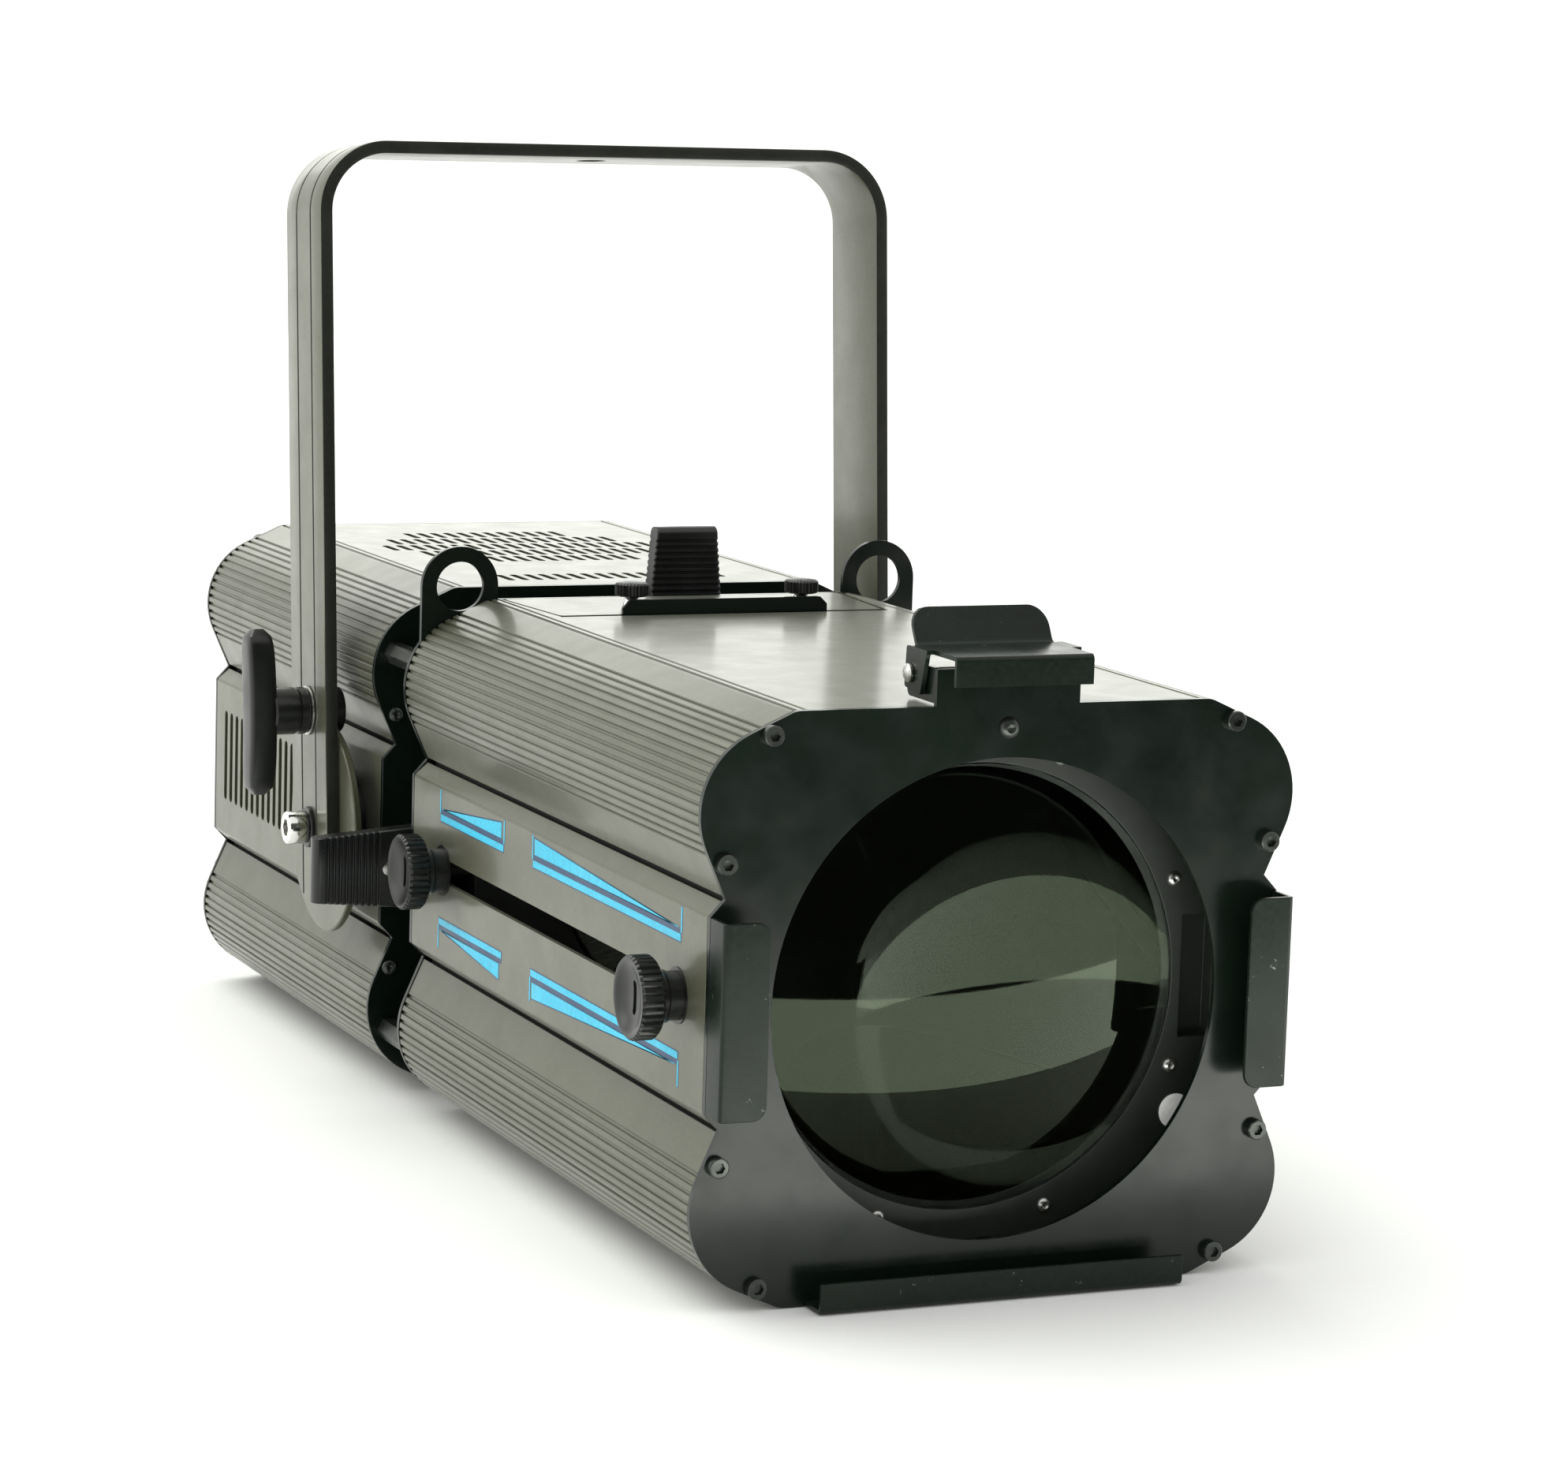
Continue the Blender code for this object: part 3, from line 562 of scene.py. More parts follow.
def make_inner_strips():
    """Black strips behind the seams between shells and side panels, and baffles behind the vents."""
    near, far, wall = 94.8, 97.0, 1.2
    seam_low, seam_high, vent_half = 29.0, 48.0, 28.5
    for end in ("front", "rear"):
        low, high = edges(end + "_left_panel")
        bm = bmesh.new()
        for side in (-1, 1):
            for up in (-1, 1):
                outline = rectangle(side * near, side * far, up * seam_low, up * seam_high)
                add_prism(bm, outline, "Y", low.y + 1, high.y - 1)
        if end == "rear":
            for side in (-1, 1):
                plate = rectangle(side * near, side * (near + wall), -vent_half, vent_half)
                add_prism(bm, plate, "Y", low.y + 24, high.y - 4)
            right = [(62, 84.0), (66, 87.0), (65, 88.0), (61, 85.2)]
            roof = right + [(-x, z) for x, z in reversed(right)]
            add_prism(bm, roof, "Y", low.y + 24, high.y - 4)
        finish_piece(end + "_light_strips", bm, INNER_BLACK, "housing")


def make_marks():
    """Printed travel marks beside the control slot: a strip, a wedge and two ticks each."""
    face = -PANEL_X
    tick = 0.75
    rows = ((1, 19.9, 23.3), (-1, -19.9, -16.6))
    blue, edge = bmesh.new(), bmesh.new()

    def lay(bm, outline, lift):
        add_prism(bm, outline, "X", face - lift, face - lift + 0.04)

    for up, low, high in rows:
        near = high if up > 0 else low
        for front, rear, tall_end in ((24.6, 168.0, "rear"), (198.5, 269.6, "front")):
            y0, y1 = FRONT_Y + front, FRONT_Y + rear
            tall, thin = near + up * 8.0, near + up * 1.8
            front_height, rear_height = (thin, tall) if tall_end == "rear" else (tall, thin)
            side = near + up * 1.3
            wedge = [(y0 + 2.5, side), (y1 - 1.5, side), (y1 - 1.5, rear_height), (y0 + 2.5, front_height)]
            lay(edge, rectangle(y0, y1, near, side), 0.03)
            for outline in (rectangle(y0, y1, low, high), wedge):
                lay(edge, outline, 0.05)
                lay(blue, shrink(outline, 0.45), 0.09)
            for y in ((y0, y1) if up > 0 or tall_end == "rear" else (y1,)):
                for bm, half, reach, lift in ((edge, tick, 9.0, 0.05), (blue, 0.5, 8.8, 0.09)):
                    lay(bm, rectangle(y - half, y + half, near, near + up * reach), lift)
    finish_piece("travel_marks_outline", edge, MARK_EDGE, "housing")
    finish_piece("travel_marks", blue, MARK_BLUE, "housing")


def shrink(outline, distance):
    """A convex outline moved inwards all round."""
    points = [Vector(p) for p in outline]
    area = sum(a.x * b.y - b.x * a.y for a, b in zip(points, points[1:] + points[:1]))
    if area < 0:
        points.reverse()
    moved = []
    for before, point, after in zip(points[-1:] + points[:-1], points, points[1:] + points[:1]):
        one, two = (point - before).normalized(), (after - point).normalized()
        n1, n2 = Vector((-one.y, one.x)), Vector((-two.y, two.x))
        middle = (n1 + n2).normalized()
        moved.append(point + middle * distance / max(0.4, middle.dot(n1)))
    return moved


def plate_screws(bm, face, way):
    for x, z in ((85.3, 92.6), (100.4, 50.5)):
        for sx in (-1, 1):
            for sz in (-1, 1):
                add_socket_screw(bm, (sx * x, sz * z), "Y", face, way)


def make_front_plate():
    y0, y1 = FRONT_Y, FRONT_Y + PLATE
    bm = prism(body_outline(), "Y", y0, y1)
    plate = finish_piece("front_plate_pressed", bm, "black_paint", "housing", replaces="front_plate",
                         bevel=0.35)
    tab = rectangle(-26.5, 26.5, HALF_Z - 3, 112.8)
    shape(plate, prism(tab, "Y", y0, y1), "UNION")
    lug_low, lug_high, lug_rear = HALF_Z + 0.8, 113.0, -356.5
    for side in (-1, 1):
        x = sorted((side * 24.5, side * 26.5))
        outline = rounded(rectangle(y0 + 0.5, lug_rear, lug_low, lug_high), 2.5)
        shape(plate, prism(outline, "X", *x), "UNION")
    shape(plate, tool(drill(2.4, "X", LATCH_AXIS, -30, 30, 24),
                      drill(APERTURE_RADIUS, "Y", (0, 0), y0 - 5, y1 + 5, 144)))
    reach, sheet = RUNNER_Y, 1.8
    bm = bmesh.new()
    for side in (-1, 1):
        line = fillet([(side * (PANEL_X - RUNNER_FACE), reach), (side * PANEL_X, reach),
                       (side * PANEL_X, y0 - 0.02)], [2.2], 10)
        add_prism(bm, strip(line, side * sheet), "Z", -PANEL_EDGE_Z, PANEL_EDGE_Z)
    low = fillet([(reach, -HALF_Z + 10.5), (reach, -HALF_Z), (y0 - 0.02, -HALF_Z)], [2.2], 10)
    add_prism(bm, strip(low, sheet), "X", -67, 68)
    runners = finish_piece("colour_frame_runners", bm, RUNNER_PAINT, "housing", bevel=0.4)
    round_lips(runners)

    bm = bmesh.new()
    plate_screws(bm, y0, -1)
    finish_piece("front_plate_screws", bm, SCREW_STEEL, "housing")
    bm = bmesh.new()
    add_pan_screw(bm, (0.5, 92.5), "Y", y0, -1)
    finish_piece("front_plate_top_screw", bm, SCREW_STEEL, "housing")


def round_lips(runners):
    """Rounds the free corners of the runner lips, which are cut with a radius."""
    reach = 5.0
    bm = bmesh.new()
    for sx in (-1, 1):
        for sz in (-1, 1):
            corner = (sx * (PANEL_X - RUNNER_FACE), sz * PANEL_EDGE_Z)
            inner = (corner[0] + sx * reach, corner[1] - sz * reach)
            bite = arc(inner, reach, 90 if sz > 0 else 270, 180 if sx > 0 else (0 if sz > 0 else 360), 8)
            outline = bite + [Vector((corner[0] - sx, inner[1])), Vector((corner[0] - sx, corner[1] + sz)),
                              Vector((inner[0], corner[1] + sz))]
            add_prism(bm, outline, "Y", RUNNER_Y - 2, RUNNER_Y + 4)
    shape(runners, bm)


def make_gate_plates():
    for node, y0, hole in (("shutter_plate", GATE_Y, GATE_RADIUS + 8),
                           ("rear_bulkhead", BULKHEAD_Y, GATE_RADIUS + 8),
                           ("rear_plate", REAR_Y - PLATE, 23.5)):
        y1 = y0 + PLATE
        obj = finish_piece(node + "_pressed", prism(body_outline(), "Y", y0, y1),
                           "black_paint", "housing", replaces=node, bevel=0.3)
        fills = [drill(hole, "Y", (0, 0), y0 - 5, y1 + 5, 72)]
        if node == "shutter_plate":
            eye, ear_radius = (88, 105.5), 15.4
            for side in (-1, 1):
                ear = arc(eye, ear_radius, 180, 0, 32)
                ear += [Vector((eye[0] + ear_radius, 84)), Vector((eye[0] - ear_radius, 92))]
                ear = [(side * p.x, p.y) for p in ear]
                shape(obj, prism(ear, "Y", y0, y1), "UNION")
                fills.append(drill(9.5, "Y", (side * eye[0], eye[1]), y0 - 3, y1 + 3))
        shape(obj, tool(*fills))
    bm = bmesh.new()
    plate_screws(bm, REAR_Y, 1)
    finish_piece("rear_plate_screws", bm, SCREW_STEEL, "housing")
    bm = bmesh.new()
    for sx in (-1, 1):
        for x, z in ((100.0, 50.5), (101.0, -50.5), (85.3, 92.6), (85.3, -92.6)):
            add_pan_screw(bm, (sx * x, z), "Y", BULKHEAD_Y, -1, 3.0, 1.8)
            add_pan_screw(bm, (sx * x, z), "Y", GATE_Y + PLATE, 1, 3.0, 1.8)
    finish_piece("bulkhead_screws", bm, SCREW_STEEL, "housing")


def make_cover():
    screw_x, screw_y = 35, -124.0
    low, high = edges("access_cover")
    outline = rounded([(-66.2, low.y), (66.2, low.y), (70.3, high.y), (-70.3, high.y)], 2.0)
    cover = finish_piece("access_cover_plate", prism(outline, "Z", low.z, high.z),
                         "olive_paint", "access_cover", replaces="access_cover", bevel=0.35)
    lip = fillet([(-110, 96.4), (-133.2, 96.4), (-133.2, 106.0)], [1.6], 15)
    bracket = finish_piece("cover_bracket_bent", prism(strip(lip, -1.5), "X", -42, 42),
                           "black_paint", "access_cover", replaces="cover_bracket", bevel=0.35)
    for side in (-1, 1):
        corner = [(side * 43, 107.5), (side * 37.5, 107.5), (side * 43, 102.2)]
        shape(bracket, prism(corner, "Y", -136, -130))
        for obj in (cover, bracket):
            shape(obj, tool(drill(2.4, "Z", (side * screw_x, screw_y), 90, 105, 24)))
    for name, x in (("cover_thumbscrew_left", -screw_x), ("cover_thumbscrew_right", screw_x)):
        foot = [(0, 93.5), (2.0, 93.5), (2.0, 100.8), (4.4, 100.8), (4.0, 102.2), (2.6, 106.3), (0, 106.3)]
        finish_piece(name + "_foot", turned(foot, "Z", (x, screw_y)), "chrome", name)
        head = [(0, 106.4), (5.6, 106.4), (6.3, 106.9), (6.3, 110.8), (5.6, 111.5), (2.6, 112.0), (0, 112.0)]
        knurled = turned(head, "Z", (x, screw_y), 144,
                         lambda a, r: r * (1 + (0.045 if r > 6 else 0.0) * math.cos(30 * a)))
        finish_piece(name + "_head", knurled, "black_plastic", name, replaces=name)


def make_latch():
    y, z = LATCH_AXIS
    top = z + 9.1
    front = FRONT_Y - 13.4
    line = fillet([(front, z - 1.0), (front, top), (y + 1, top), (y + 8, top + 12)], [2.0, 3.0], 10)
    latch = finish_piece("frame_latch_bent", prism(strip(line, -1.5), "X", -26.0, 24.5),
                         RUNNER_PAINT, "frame_latch", replaces="frame_latch", bevel=0.35)
    for side in (-1, 1):
        cheek = rounded([(y - 12.5, top - 0.1), (y - 8, z - 6.5), (y + 4.5, z - 5),
                         (y + 3.5, top - 0.1)], 1.2, 30)
        x = sorted((side * 27.0, side * 28.6))
        shape(latch, prism(cheek, "X", *x), "UNION")
    deck = rectangle(-28.6, 28.6, y - 12.5, y + 1.5)
    shape(latch, prism(deck, "Z", top - 1.45, top - 0.05), "UNION")
    for sx in (-1, 1):
        edge = 24.5 if sx > 0 else 26.0
        inner = (sx * (edge - 7.0), top + 5.0)
        bite = arc(inner, 7.0, 90, 0 if sx > 0 else 180, 8)
        outline = bite + [Vector((sx * (edge + 2), inner[1])), Vector((sx * (edge + 2), top + 14)),
                          Vector((inner[0], top + 14))]
        shape(latch, prism(outline, "Y", y, y + 14))
    half_pin = [(2.0, 28.9), (3.2, 28.9), (3.2, 29.7), (2.2, 30.4), (0, 30.6)]
    pin = [(radius, -x) for radius, x in reversed(half_pin)] + half_pin
    finish_piece("latch_pin_riveted", turned(pin, "X", (y, z), 32), "bright_steel",
                 "housing", replaces="latch_pin")


# ---- lenses and controls ------------------------------------------------
def lens_profile(radius, low, high, front_bulge, rear_bulge, steps=24):
    front = [(radius * i / steps, low - front_bulge * (1 - (i / steps) ** 2)) for i in range(steps + 1)]
    rear = [(radius * i / steps, high + rear_bulge * (1 - (i / steps) ** 2)) for i in range(steps, -1, -1)]
    return front + rear


def make_lenses():
    front_y, rear_y = edges("front_carriage")[0].y, edges("rear_carriage")[0].y
    for name, radius, y, bulges in (("front_lens", 77.0, front_y, (12, 11)),
                                    ("rear_lens", 58.0, rear_y, (0.02, 15))):
        body = name + "_carriage"
        profile = lens_profile(radius, y + 0.2, y + 4.0, *bulges)
        finish_piece(name + "_ground", turned(profile, "Y", (0, 0), 128), "optical_glass",
                     body, replaces=name, angle=25)
        node = name.replace("lens", "carriage")
        outline = rounded([(94, 88), (94, -88), (-94, -88), (-94, 88)], 24)
        obj = finish_piece(node + "_plate", prism(outline, "Y", y, y + 10.0), INNER_BLACK,
                           body, replaces=node, bevel=0.3)
        seat = [(0, y - 2), (radius + 0.4, y - 2), (radius + 0.4, y + 6.2), (radius - 3, y + 6.2),
                (radius - 3, y + 20), (0, y + 20)]
        holes = [drill(4.4, "Y", (x, ROD_Z), y - 2, y + 20, 32) for x in (-78, 78)]
        shape(obj, tool(lambda bm: add_turned(bm, seat, "Y", (0, 0), 128), *holes))
        if name == "front_lens":
            pocket = rectangle(81, 93, -21.7, 21.5)
            shape(obj, prism(pocket, "Y", y - 2, y + 6))
            bm = bmesh.new()
            for a in (24, -22, -68, 68, 112, 158, 202, 248):
                spot = (84.2 * math.cos(math.radians(a)), 84.2 * math.sin(math.radians(a)))
                add_pan_screw(bm, spot, "Y", y, -1, 2.6, 1.6)
            finish_piece("lens_retaining_screws", bm, "bright_steel", body)
            dot = [(0, y - 0.02), (6.2, y - 0.02), (6.2, y - 0.5), (5.4, y - 0.9), (0, y - 0.9)]
            finish_piece("white_felt_dot", turned(dot, "Y", (81, -48)), MARK_WHITE, body)
    for side in ("left", "right"):
        node = "guide_rod_" + side
        low, high = edges(node)
        rod = [(0, low.y), (3.6, low.y), (4.0, low.y + 0.5), (4.0, high.y - 0.5), (3.6, high.y), (0, high.y)]
        finish_piece(node + "_ground", turned(rod, "Y", ((low.x + high.x) / 2, ROD_Z), 32),
                     "bright_steel", "housing", replaces=node)


def make_knobs():
    face = edges("focus_knob")[0].x
    for node, middle in (("focus_knob", FOCUS_KNOB), ("zoom_knob", ZOOM_KNOB)):
        centre = (middle.y, middle.z)
        profile = [(0, face + 2.6), (4.0, face + 2.5), (8.0, face + 1.9), (11.0, face + 0.6), (12.2, face),
                   (13.4, face), (14.3, face + 0.9), (14.3, face + 7.2), (13.4, face + 8.2),
                   (9.4, face + 8.6), (8.5, face + 9.2), (8.5, face + 11.6), (8.9, face + 11.9),
                   (8.9, face + 12.7), (8.3, face + 13.0), (8.3, face + 17.0), (3.0, face + 17.0),
                   (3.0, -85.5), (0, -85.5)]
        knurled = turned(profile, "X", centre, 216,
                         lambda a, r: r + (0.85 * min(0.0, math.cos(36 * a)) if r > 13.8 else 0.0))
        knob = finish_piece(node + "_knurled", knurled, "black_plastic", node, replaces=node, angle=30)
        y, z = centre
        slot = rounded(rectangle(y - 1.4, y + 1.4, z - 5.8, z + 5.8), 1.35, 20)
        shape(knob, prism(slot, "X", face - 2, face + 3.6))
        washer = rectangle(3.2, 9.6, -PANEL_X - 0.45, -PANEL_X - 0.1)
        finish_piece(node + "_washer", turned(washer, "X", centre), "black_plastic", node)


# ---- framing shutters ---------------------------------------------------
def make_handles():
    """Moulded grips with a rivet each; plane is where a grip's blade lies along the lamp."""
    turns = {"top": 0, "right": -90, "bottom": 180, "left": 90}
    length, thick_half = 41.0, 4.5
    rivet_place, rivet_top = 11.0, 4.8  # a taller head would rub on the shutter plate
    for side, tip, shift, plane in (("top", 126.0, 10.0, -64.0), ("left", 142.0, -5.0, -66.5),
                                    ("bottom", 98.0, 0.0, -69.0), ("right", 142.0, 0.0, -71.5)):
        node = "shutter_handle_" + side
        base = tip - length
        ribs = [15.5 + 2.5 * i for i in range(9)]
        straight = length - 2.5
        face = grooved([Vector((0, -thick_half)), Vector((straight, -thick_half))], ribs, 1.5, 1.0)
        angles = [math.radians(t) for t in range(-75, 76, 15)]
        cap = [Vector((straight + 2.5 * math.cos(t), thick_half * math.sin(t))) for t in angles]
        back = [Vector((p.x, -p.y)) for p in reversed(face)]
        outline = face + cap + back
        turn = Matrix.Rotation(math.radians(-turns[side]), 4, "Y")
        bm = bmesh.new()
        steps = (-1.0, -0.97, -0.9, 0.9, 0.97, 1.0)
        swell = (0.80, 0.93, 1.0, 1.0, 0.93, 0.80)
        loops = []
        for across, thick in zip(steps, swell):
            ring = []
            for p in outline:
                half = 16.0 - 3.4 * p.x / length
                x = shift + across * half
                point = Vector((x, plane + p.y * thick, base + p.x))
                ring.append(bm.verts.new(turn @ point))
            loops.append(ring)
        body = "shutter_" + side
        finish_piece(node + "_ribbed", skin(bm, loops), "black_plastic", body, replaces=node, angle=30)
        bm = bmesh.new()
        for way in (-1, 1):
            head = ((0, 4.0), (2.6, 4.0), (2.6, 4.6), (2.1, 4.72), (1.0, rivet_top), (0, rivet_top))
            add_turned(bm, [(radius, plane + way * up) for radius, up in head], "Y", (0, 0), 24)
        bmesh.ops.translate(bm, vec=(shift, 0, base + rivet_place), verts=bm.verts[:])
        bmesh.ops.rotate(bm, matrix=turn.to_3x3(), verts=bm.verts[:])
        finish_piece(node + "_rivet", bm, "bright_steel", body)


# ---- lamp house ---------------------------------------------------------
def make_lamp_house():
    centre, long_half, short_half, wall = -8.0, 82.0, 60.8, 1.6
    inner, outer = [], []
    for i in range(25):
        a = math.radians(4 + 66 * i / 24)
        inner.append((short_half * math.cos(a), centre + long_half * math.sin(a)))
        outer.append(((short_half + wall) * math.cos(a), centre + (long_half + wall) * math.sin(a)))
    rim = [(68.0, outer[0][1]), (68.0, inner[0][1] - 1.6), (inner[0][0], inner[0][1] - 1.6)]
    bowl = inner + list(reversed(outer)) + rim
    finish_piece("reflector_faceted", turned(bowl, "Y", (0, 0), 24), "reflector_mirror",
                 "housing", replaces="reflector", angle=5)
    y = REAR_Y
    fins = [(0, 132.6), (21, 132.6), (21, y + GAP), (46, y + GAP), (46, y + 2.2)]
    for i in range(4):
        base = y + 2.2 + 2.6 * i
        fins += [(44.0, base), (44.0, base + 1.2), (46 - 0.6 * i, base + 1.3), (46 - 0.6 * i, base + 2.5)]
    fins += [(42.5, y + 15.0), (38, y + 18), (0, y + 18)]
    finish_piece("lamp_cap_finned", turned(fins, "Y", (0, 0), 96), "black_paint",
                 "lamp_tray", replaces="lamp_cap", bevel=0.2)
    knob = [(0, y + 18.6), (11.2, y + 18.6), (12, y + 19.3), (12, y + 28.2), (11, y + 29.6),
            (8, y + 30.5), (0, y + 30.5)]
    knurled = turned(knob, "Y", (0, 0), 144,
                     lambda a, r: r - (0.45 * max(0.0, math.cos(24 * a)) if r > 11.5 else 0.0))
    finish_piece("lamp_adjust_knob_knurled", knurled, "black_plastic", "lamp_adjust_knob",
                 replaces="lamp_adjust_knob")
    gland = [(4.2, y + GAP), (11, y + GAP), (11, y + 8.4), (10.2, y + 9.2), (8.8, y + 9.6)]
    for i in range(4):
        gland += [(8.5, y + 10 + 2.2 * i), (8.5, y + 11.2 + 2.2 * i),
                  (7.7, y + 11.5 + 2.2 * i), (7.7, y + 12.0 + 2.2 * i)]
    gland += [(6.5, y + 22), (4.2, y + 22)]
    nut = turned(gland, "Y", (-62, -62), 72,
                 lambda a, r: r * (1 + (0.03 * math.cos(6 * a) if r > 10.5 else 0.0)))
    finish_piece("cable_gland_ribbed", nut, "black_plastic", "housing", replaces="cable_gland")


# ---- yoke and its pivots ------------------------------------------------
def make_tilt_hardware():
    for side, tag in ((-1, "left"), (1, "right")):
        def x(value):
            return side * value

        bore = PIVOT_HOLE_RADIUS
        boss = [(bore, x(PANEL_X + GAP)), (22, x(PANEL_X + GAP)), (22, x(111.4)), (21.2, x(112.2)),
                (16.5, x(112.4)), (16.0, x(113.3)), (bore, x(113.3))]
        disc = [(bore, x(113.6)), (41.4, x(113.6)), (42, x(114.1)), (42, x(116.1)), (41.4, x(116.6)),
                (bore, x(116.6))]
        washer = [(4.3, x(122.3)), (8.2, x(122.3)), (8.2, x(123.4)), (7.8, x(123.8)), (4.3, x(123.8))]
        head = [(0, x(99)), (4.0, x(99)), (4.0, x(124.1)), (6.3, x(124.1)), (6.5, x(124.4)),
                (6.5, x(131.4)), (6.2, x(131.9)), (5.6, x(132.2)), (3.9, x(132.2)), (3.6, x(131.9)),
                (3.6, x(128.0)), (0, x(127.6))]
        finish_piece(f"tilt_boss_{tag}_stepped", turned(boss, "X", (0, 0), 96),
                     "black_plastic", "housing", replaces="tilt_boss_" + tag)
        finish_piece(f"brake_disc_{tag}_turned", turned(disc, "X", (0, 0), 144),
                     "olive_paint", "housing", replaces="brake_disc_" + tag)
        finish_piece(f"pivot_washer_{tag}_split", turned(washer, "X", (0, 0), 40),
                     "black_plastic", "housing", replaces="pivot_washer_" + tag)
        bolt = turned(head, "X", (0, 0), 72,
                      lambda a, r: r * (0.93 + 0.07 * math.cos(6 * a)) if 3.5 < r < 3.95 else r)
        finish_piece(f"pivot_bolt_{tag}_socket", bolt, "chrome", "housing", replaces="pivot_bolt_" + tag)


def make_yoke():
    path = fillet([(-YOKE_X, -40), (-YOKE_X, YOKE_TOP), (YOKE_X, YOKE_TOP), (YOKE_X, -40)],
                  [YOKE_CORNER, YOKE_CORNER], 4)
    half, c = YOKE_WIDTH / 2, 0.7
    section = [(-half, YOKE_THICK - c), (-half, c), (-half + 0.25 * c, 0.25 * c), (-half + c, 0)]
    for groove in (-9.0, 9.0):
        section += [(groove - 0.8, 0), (groove - 0.6, 0.15), (groove - 0.3, 0.8), (groove + 0.3, 0.8),
                    (groove + 0.6, 0.15), (groove + 0.8, 0)]
    section += [(half - c, 0), (half - 0.25 * c, 0.25 * c), (half, c), (half, YOKE_THICK - c),
                (half - 0.25 * c, YOKE_THICK - 0.25 * c), (half - c, YOKE_THICK), (-half + c, YOKE_THICK),
                (-half + 0.25 * c, YOKE_THICK - 0.25 * c)]
    bm = bmesh.new()
    lines = [offset(path, -depth) for _, depth in section]
    rings = [[bm.verts.new((lines[k][i].x, section[k][0], lines[k][i].y)) for k in range(len(section))]
             for i in range(len(path))]
    yoke = finish_piece("yoke_bar", skin(bm, rings), "olive_paint", "yoke", replaces="yoke", lean=True,
                        angle=25)
    wide, below = half + 9, -60
    end = arc((0, YOKE_TIP), half, 180, 360, 36)
    end += [Vector(p) for p in ((wide, YOKE_TIP), (wide, below), (-wide, below), (-wide, YOKE_TIP))]
    for cut in (lambda bm: add_prism(bm, end, "X", -140, 140),
                drill(PIVOT_HOLE_RADIUS, "X", (0, 0), -140, 140),
                drill(3.5, "X", (0, CLAMP_ARM), -140, -100),
                drill(6.0, "Z", (0, 0), 250, 290)):
        shape(yoke, tool(cut), lean=True)
    # painted shade on the bar's narrow sides
    paint_bar_edge_shade(yoke)


def paint_bar_edge_shade(yoke):
    """Painted shade: the two narrow sides of the bar take a near-black finish that stands in for the shade
    on them.
    """
    yoke.data.materials.append(BAR_EDGE_PAINTED_SHADE)
    ahead = YOKE_LEAN.to_3x3() @ Vector((0, 1, 0))
    for face in yoke.data.polygons:
        if abs(face.normal.dot(ahead)) > 0.6:
            face.material_index = 1


def make_clamp():
    """T-handle, its bright washer and the jaw on the brake disc."""
    centre = (0, CLAMP_ARM)
    hub = [(0, -138), (8.8, -138), (9.4, -137.2), (9.4, -128.5), (8.6, -128.1), (8.6, -127.5), (9.4, -127.1),
           (9.4, -124.2), (8.9, -123.6), (3.0, -123.6), (3.0, -109.6), (0, -109.6)]
    handle = finish_piece("tilt_lock_handle_moulded", turned(hub, "X", centre, 72),
                          "black_plastic", "tilt_lock", replaces="tilt_lock_handle", lean=True)
    bm = bmesh.new()
    rings = []
    steps, sides = 22, 28
    for i in range(steps + 1):
        t = -1 + 2 * i / steps
        ends = math.sqrt(max(0.0, 1 - abs(t) ** 9))
        width = (6.6 + 1.2 * (1 - t * t)) * (0.35 + 0.65 * ends)
        deep = 5.6 * (0.4 + 0.6 * ends)
        middle = -143.0 + 0.9 * (1 - t * t)
        ring = []
        for k in range(sides):
            a = math.tau * k / sides
            c, s = math.cos(a), math.sin(a)
            x = middle + deep * math.copysign(abs(c) ** 0.4, c)
            y = width * math.copysign(abs(s) ** 0.4, s)
            ring.append(bm.verts.new((x, y, CLAMP_ARM + 33.0 * t)))
        rings.append(ring)
    skin(bm, rings)
    bmesh.ops.recalc_face_normals(bm, faces=bm.faces[:])
    shape(handle, bm, "UNION", lean=True)
    washer = [(3.4, -123.3), (9.4, -123.3), (9.8, -123.1), (9.8, -122.5), (9.4, -122.3), (3.4, -122.3)]
    finish_piece("lock_washer_bright", turned(washer, "X", centre, 64), "bright_steel",
                 "yoke", replaces="lock_washer", lean=True)
    jaw = [(3.4, -113.3), (8.4, -113.3), (9.0, -112.7), (9.0, -109.6), (8.4, -109.0), (3.4, -109.0)]
    finish_piece("lock_jaw_turned", turned(jaw, "X", centre, 64), "black_plastic",
                 "yoke", replaces="lock_jaw", lean=True)


# ---- stage --------------------------------------------------------------
def make_camera():
    azimuth, elevation, roll = math.radians(23.38), math.radians(8.44), math.radians(1.79)
    ahead = Vector((math.sin(azimuth) * math.cos(elevation), math.cos(azimuth) * math.cos(elevation),
                    -math.sin(elevation)))
    level = Vector((math.cos(azimuth), -math.sin(azimuth), 0))
    upright = level.cross(ahead)
    right = math.cos(roll) * level + math.sin(roll) * upright
    up = -math.sin(roll) * level + math.cos(roll) * upright
    data = bpy.data.cameras.new("camera")
    data.lens = 106.42
    data.sensor_width = 36.0
    cam = bpy.data.objects.new("camera", data)
    bpy.context.scene.collection.objects.link(cam)
    axes = Matrix((right, up, -ahead)).transposed().to_4x4()
    cam.matrix_world = Matrix.Translation((-0.67393, -1.75137, 0.41499)) @ axes
    bpy.context.scene.camera = cam


LIGHT_TINT = (0.98, 1.0, 0.93)


def area_light(name, place, target, size, power, color=LIGHT_TINT):
    data = bpy.data.lights.new(name, "AREA")
    data.shape = "RECTANGLE"
    data.size, data.size_y = size
    data.energy = power
    data.color = color
    lamp = bpy.data.objects.new(name, data)
    bpy.context.scene.collection.objects.link(lamp)
    lamp.location = place
    lamp.visible_camera = False
    lamp.rotation_euler = (Vector(target) - Vector(place)).to_track_quat("-Z", "Y").to_euler()


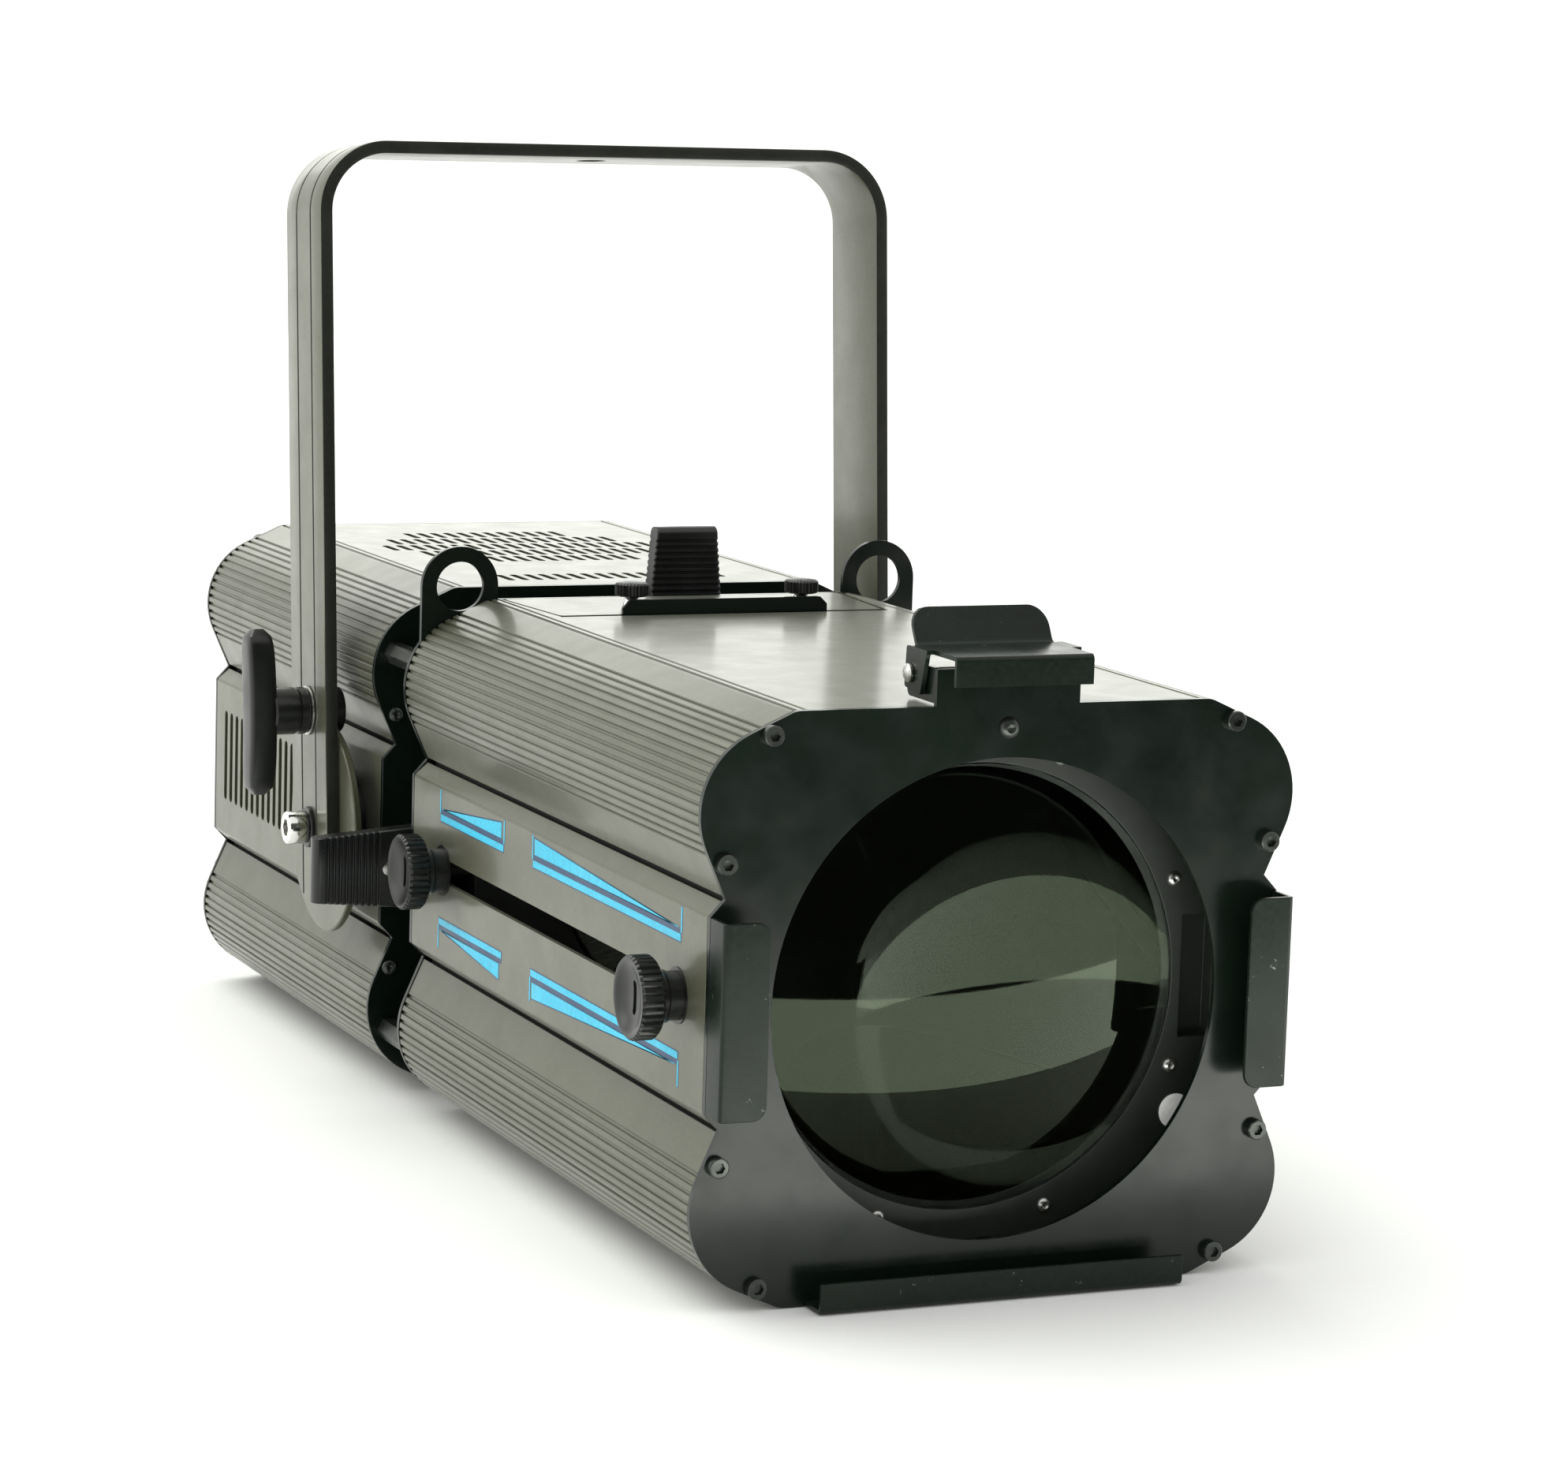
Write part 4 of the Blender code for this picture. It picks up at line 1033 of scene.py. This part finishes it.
def light_sky(tree):
    """Even white studio surroundings."""
    cloud = noise(tree, 1.5)
    tree.links.new(spread(tree, cloud, 0.3, 0.7, 1.04, 1.08), tree.nodes["Background"].inputs["Strength"])
    tree.nodes["Background"].inputs["Color"].default_value = (0.99, 1.0, 0.97, 1.0)


def make_sheet(name, mat, cells, size):
    """A flat level sheet, in metres, that only dresses the stage."""
    bm = bmesh.new()
    bmesh.ops.create_grid(bm, x_segments=cells[0], y_segments=cells[1], size=size)
    mesh = bpy.data.meshes.new(name)
    bm.to_mesh(mesh)
    bm.free()
    mesh.materials.append(mat)
    sheet = bpy.data.objects.new(name, mesh)
    bpy.context.scene.collection.objects.link(sheet)
    return sheet


def make_flags():
    """Black cloths in front, on the floor and standing, which the camera never sees."""
    cloth = look("flag_cloth", (0.02, 0.02, 0.02), 0.9, 0.1, 0.05, 200.0, 0.1)
    for name, place, lean, scale in (("floor_cloth", (0.6, -2.45, 0.0), 0, (2.6, 1.6, 1.0)),
                                     ("standing_cloth", (0.4, -3.6, 1.5), 90, (4.5, 1.5, 1.0))):
        flag = make_sheet(name, cloth, (6, 4), 1.0)
        flag.scale = scale
        flag.location = place
        flag.rotation_euler.x = math.radians(lean)
        flag.visible_camera = False
        flag.visible_diffuse = False
        flag.visible_shadow = False


def make_stage():
    mat, tree, bsdf = nodes_of("pale_floor")
    tone = mixed(tree, spread(tree, noise(tree, 3.0), 0.3, 0.7, 0, 1), (0.86, 0.86, 0.86), (0.9, 0.9, 0.9))
    tree.links.new(tone, bsdf.inputs["Base Color"])
    bsdf.inputs["Roughness"].default_value = 0.7
    bsdf.inputs["Specular IOR Level"].default_value = 0.0
    make_sheet("floor", mat, (8, 8), 300.0).location.z = -0.0005
    world = bpy.data.worlds.new("studio")
    bpy.context.scene.world = world
    world.use_nodes = True
    light_sky(world.node_tree)
    sun = bpy.data.lights.new("overhead_silk", "SUN")
    sun.energy = 1.7
    sun.color = LIGHT_TINT
    sun.angle = math.radians(55)
    overhead = bpy.data.objects.new("overhead_silk", sun)
    overhead.rotation_euler = (math.radians(-28), math.radians(-22), 0)
    bpy.context.scene.collection.objects.link(overhead)
    area_light("back_softbox", (1.9, 3.9, 1.15), (0, -0.1, 0.15), (5.0, 1.8), 34)
    area_light("left_softbox", (-2.4, 1.2, 0.9), (0, -0.1, 0.12), (1.6, 1.2), 9)
    area_light("table_glow", (0.2, -0.66, 0.002), (0.2, -0.66, 1.0), (1.1, 0.34), 4.0)
    make_flags()
    bpy.context.scene.view_settings.view_transform = "Standard"


def paint_cad_nodes():
    """The inner pieces keep their CAD shape and take the detailed finish of their slot."""
    for row in frame["record"]["subparts"]:
        obj = frame["nodes"][row["node"]]
        obj.data.materials.clear()
        obj.data.materials.append(LOOKS[row["material_slot"]])
    for i in range(1, 5):
        frame["nodes"][f"gate_post_{i}"].data.materials[0] = SCREW_STEEL


make_camera()
make_stage()
paint_cad_nodes()
make_shells()
make_panels()
make_inner_strips()
make_marks()
make_front_plate()
make_gate_plates()
make_cover()
make_latch()
make_lenses()
make_knobs()
make_handles()
make_lamp_house()
make_tilt_hardware()
make_yoke()
make_clamp()

bpy.context.view_layer.update()
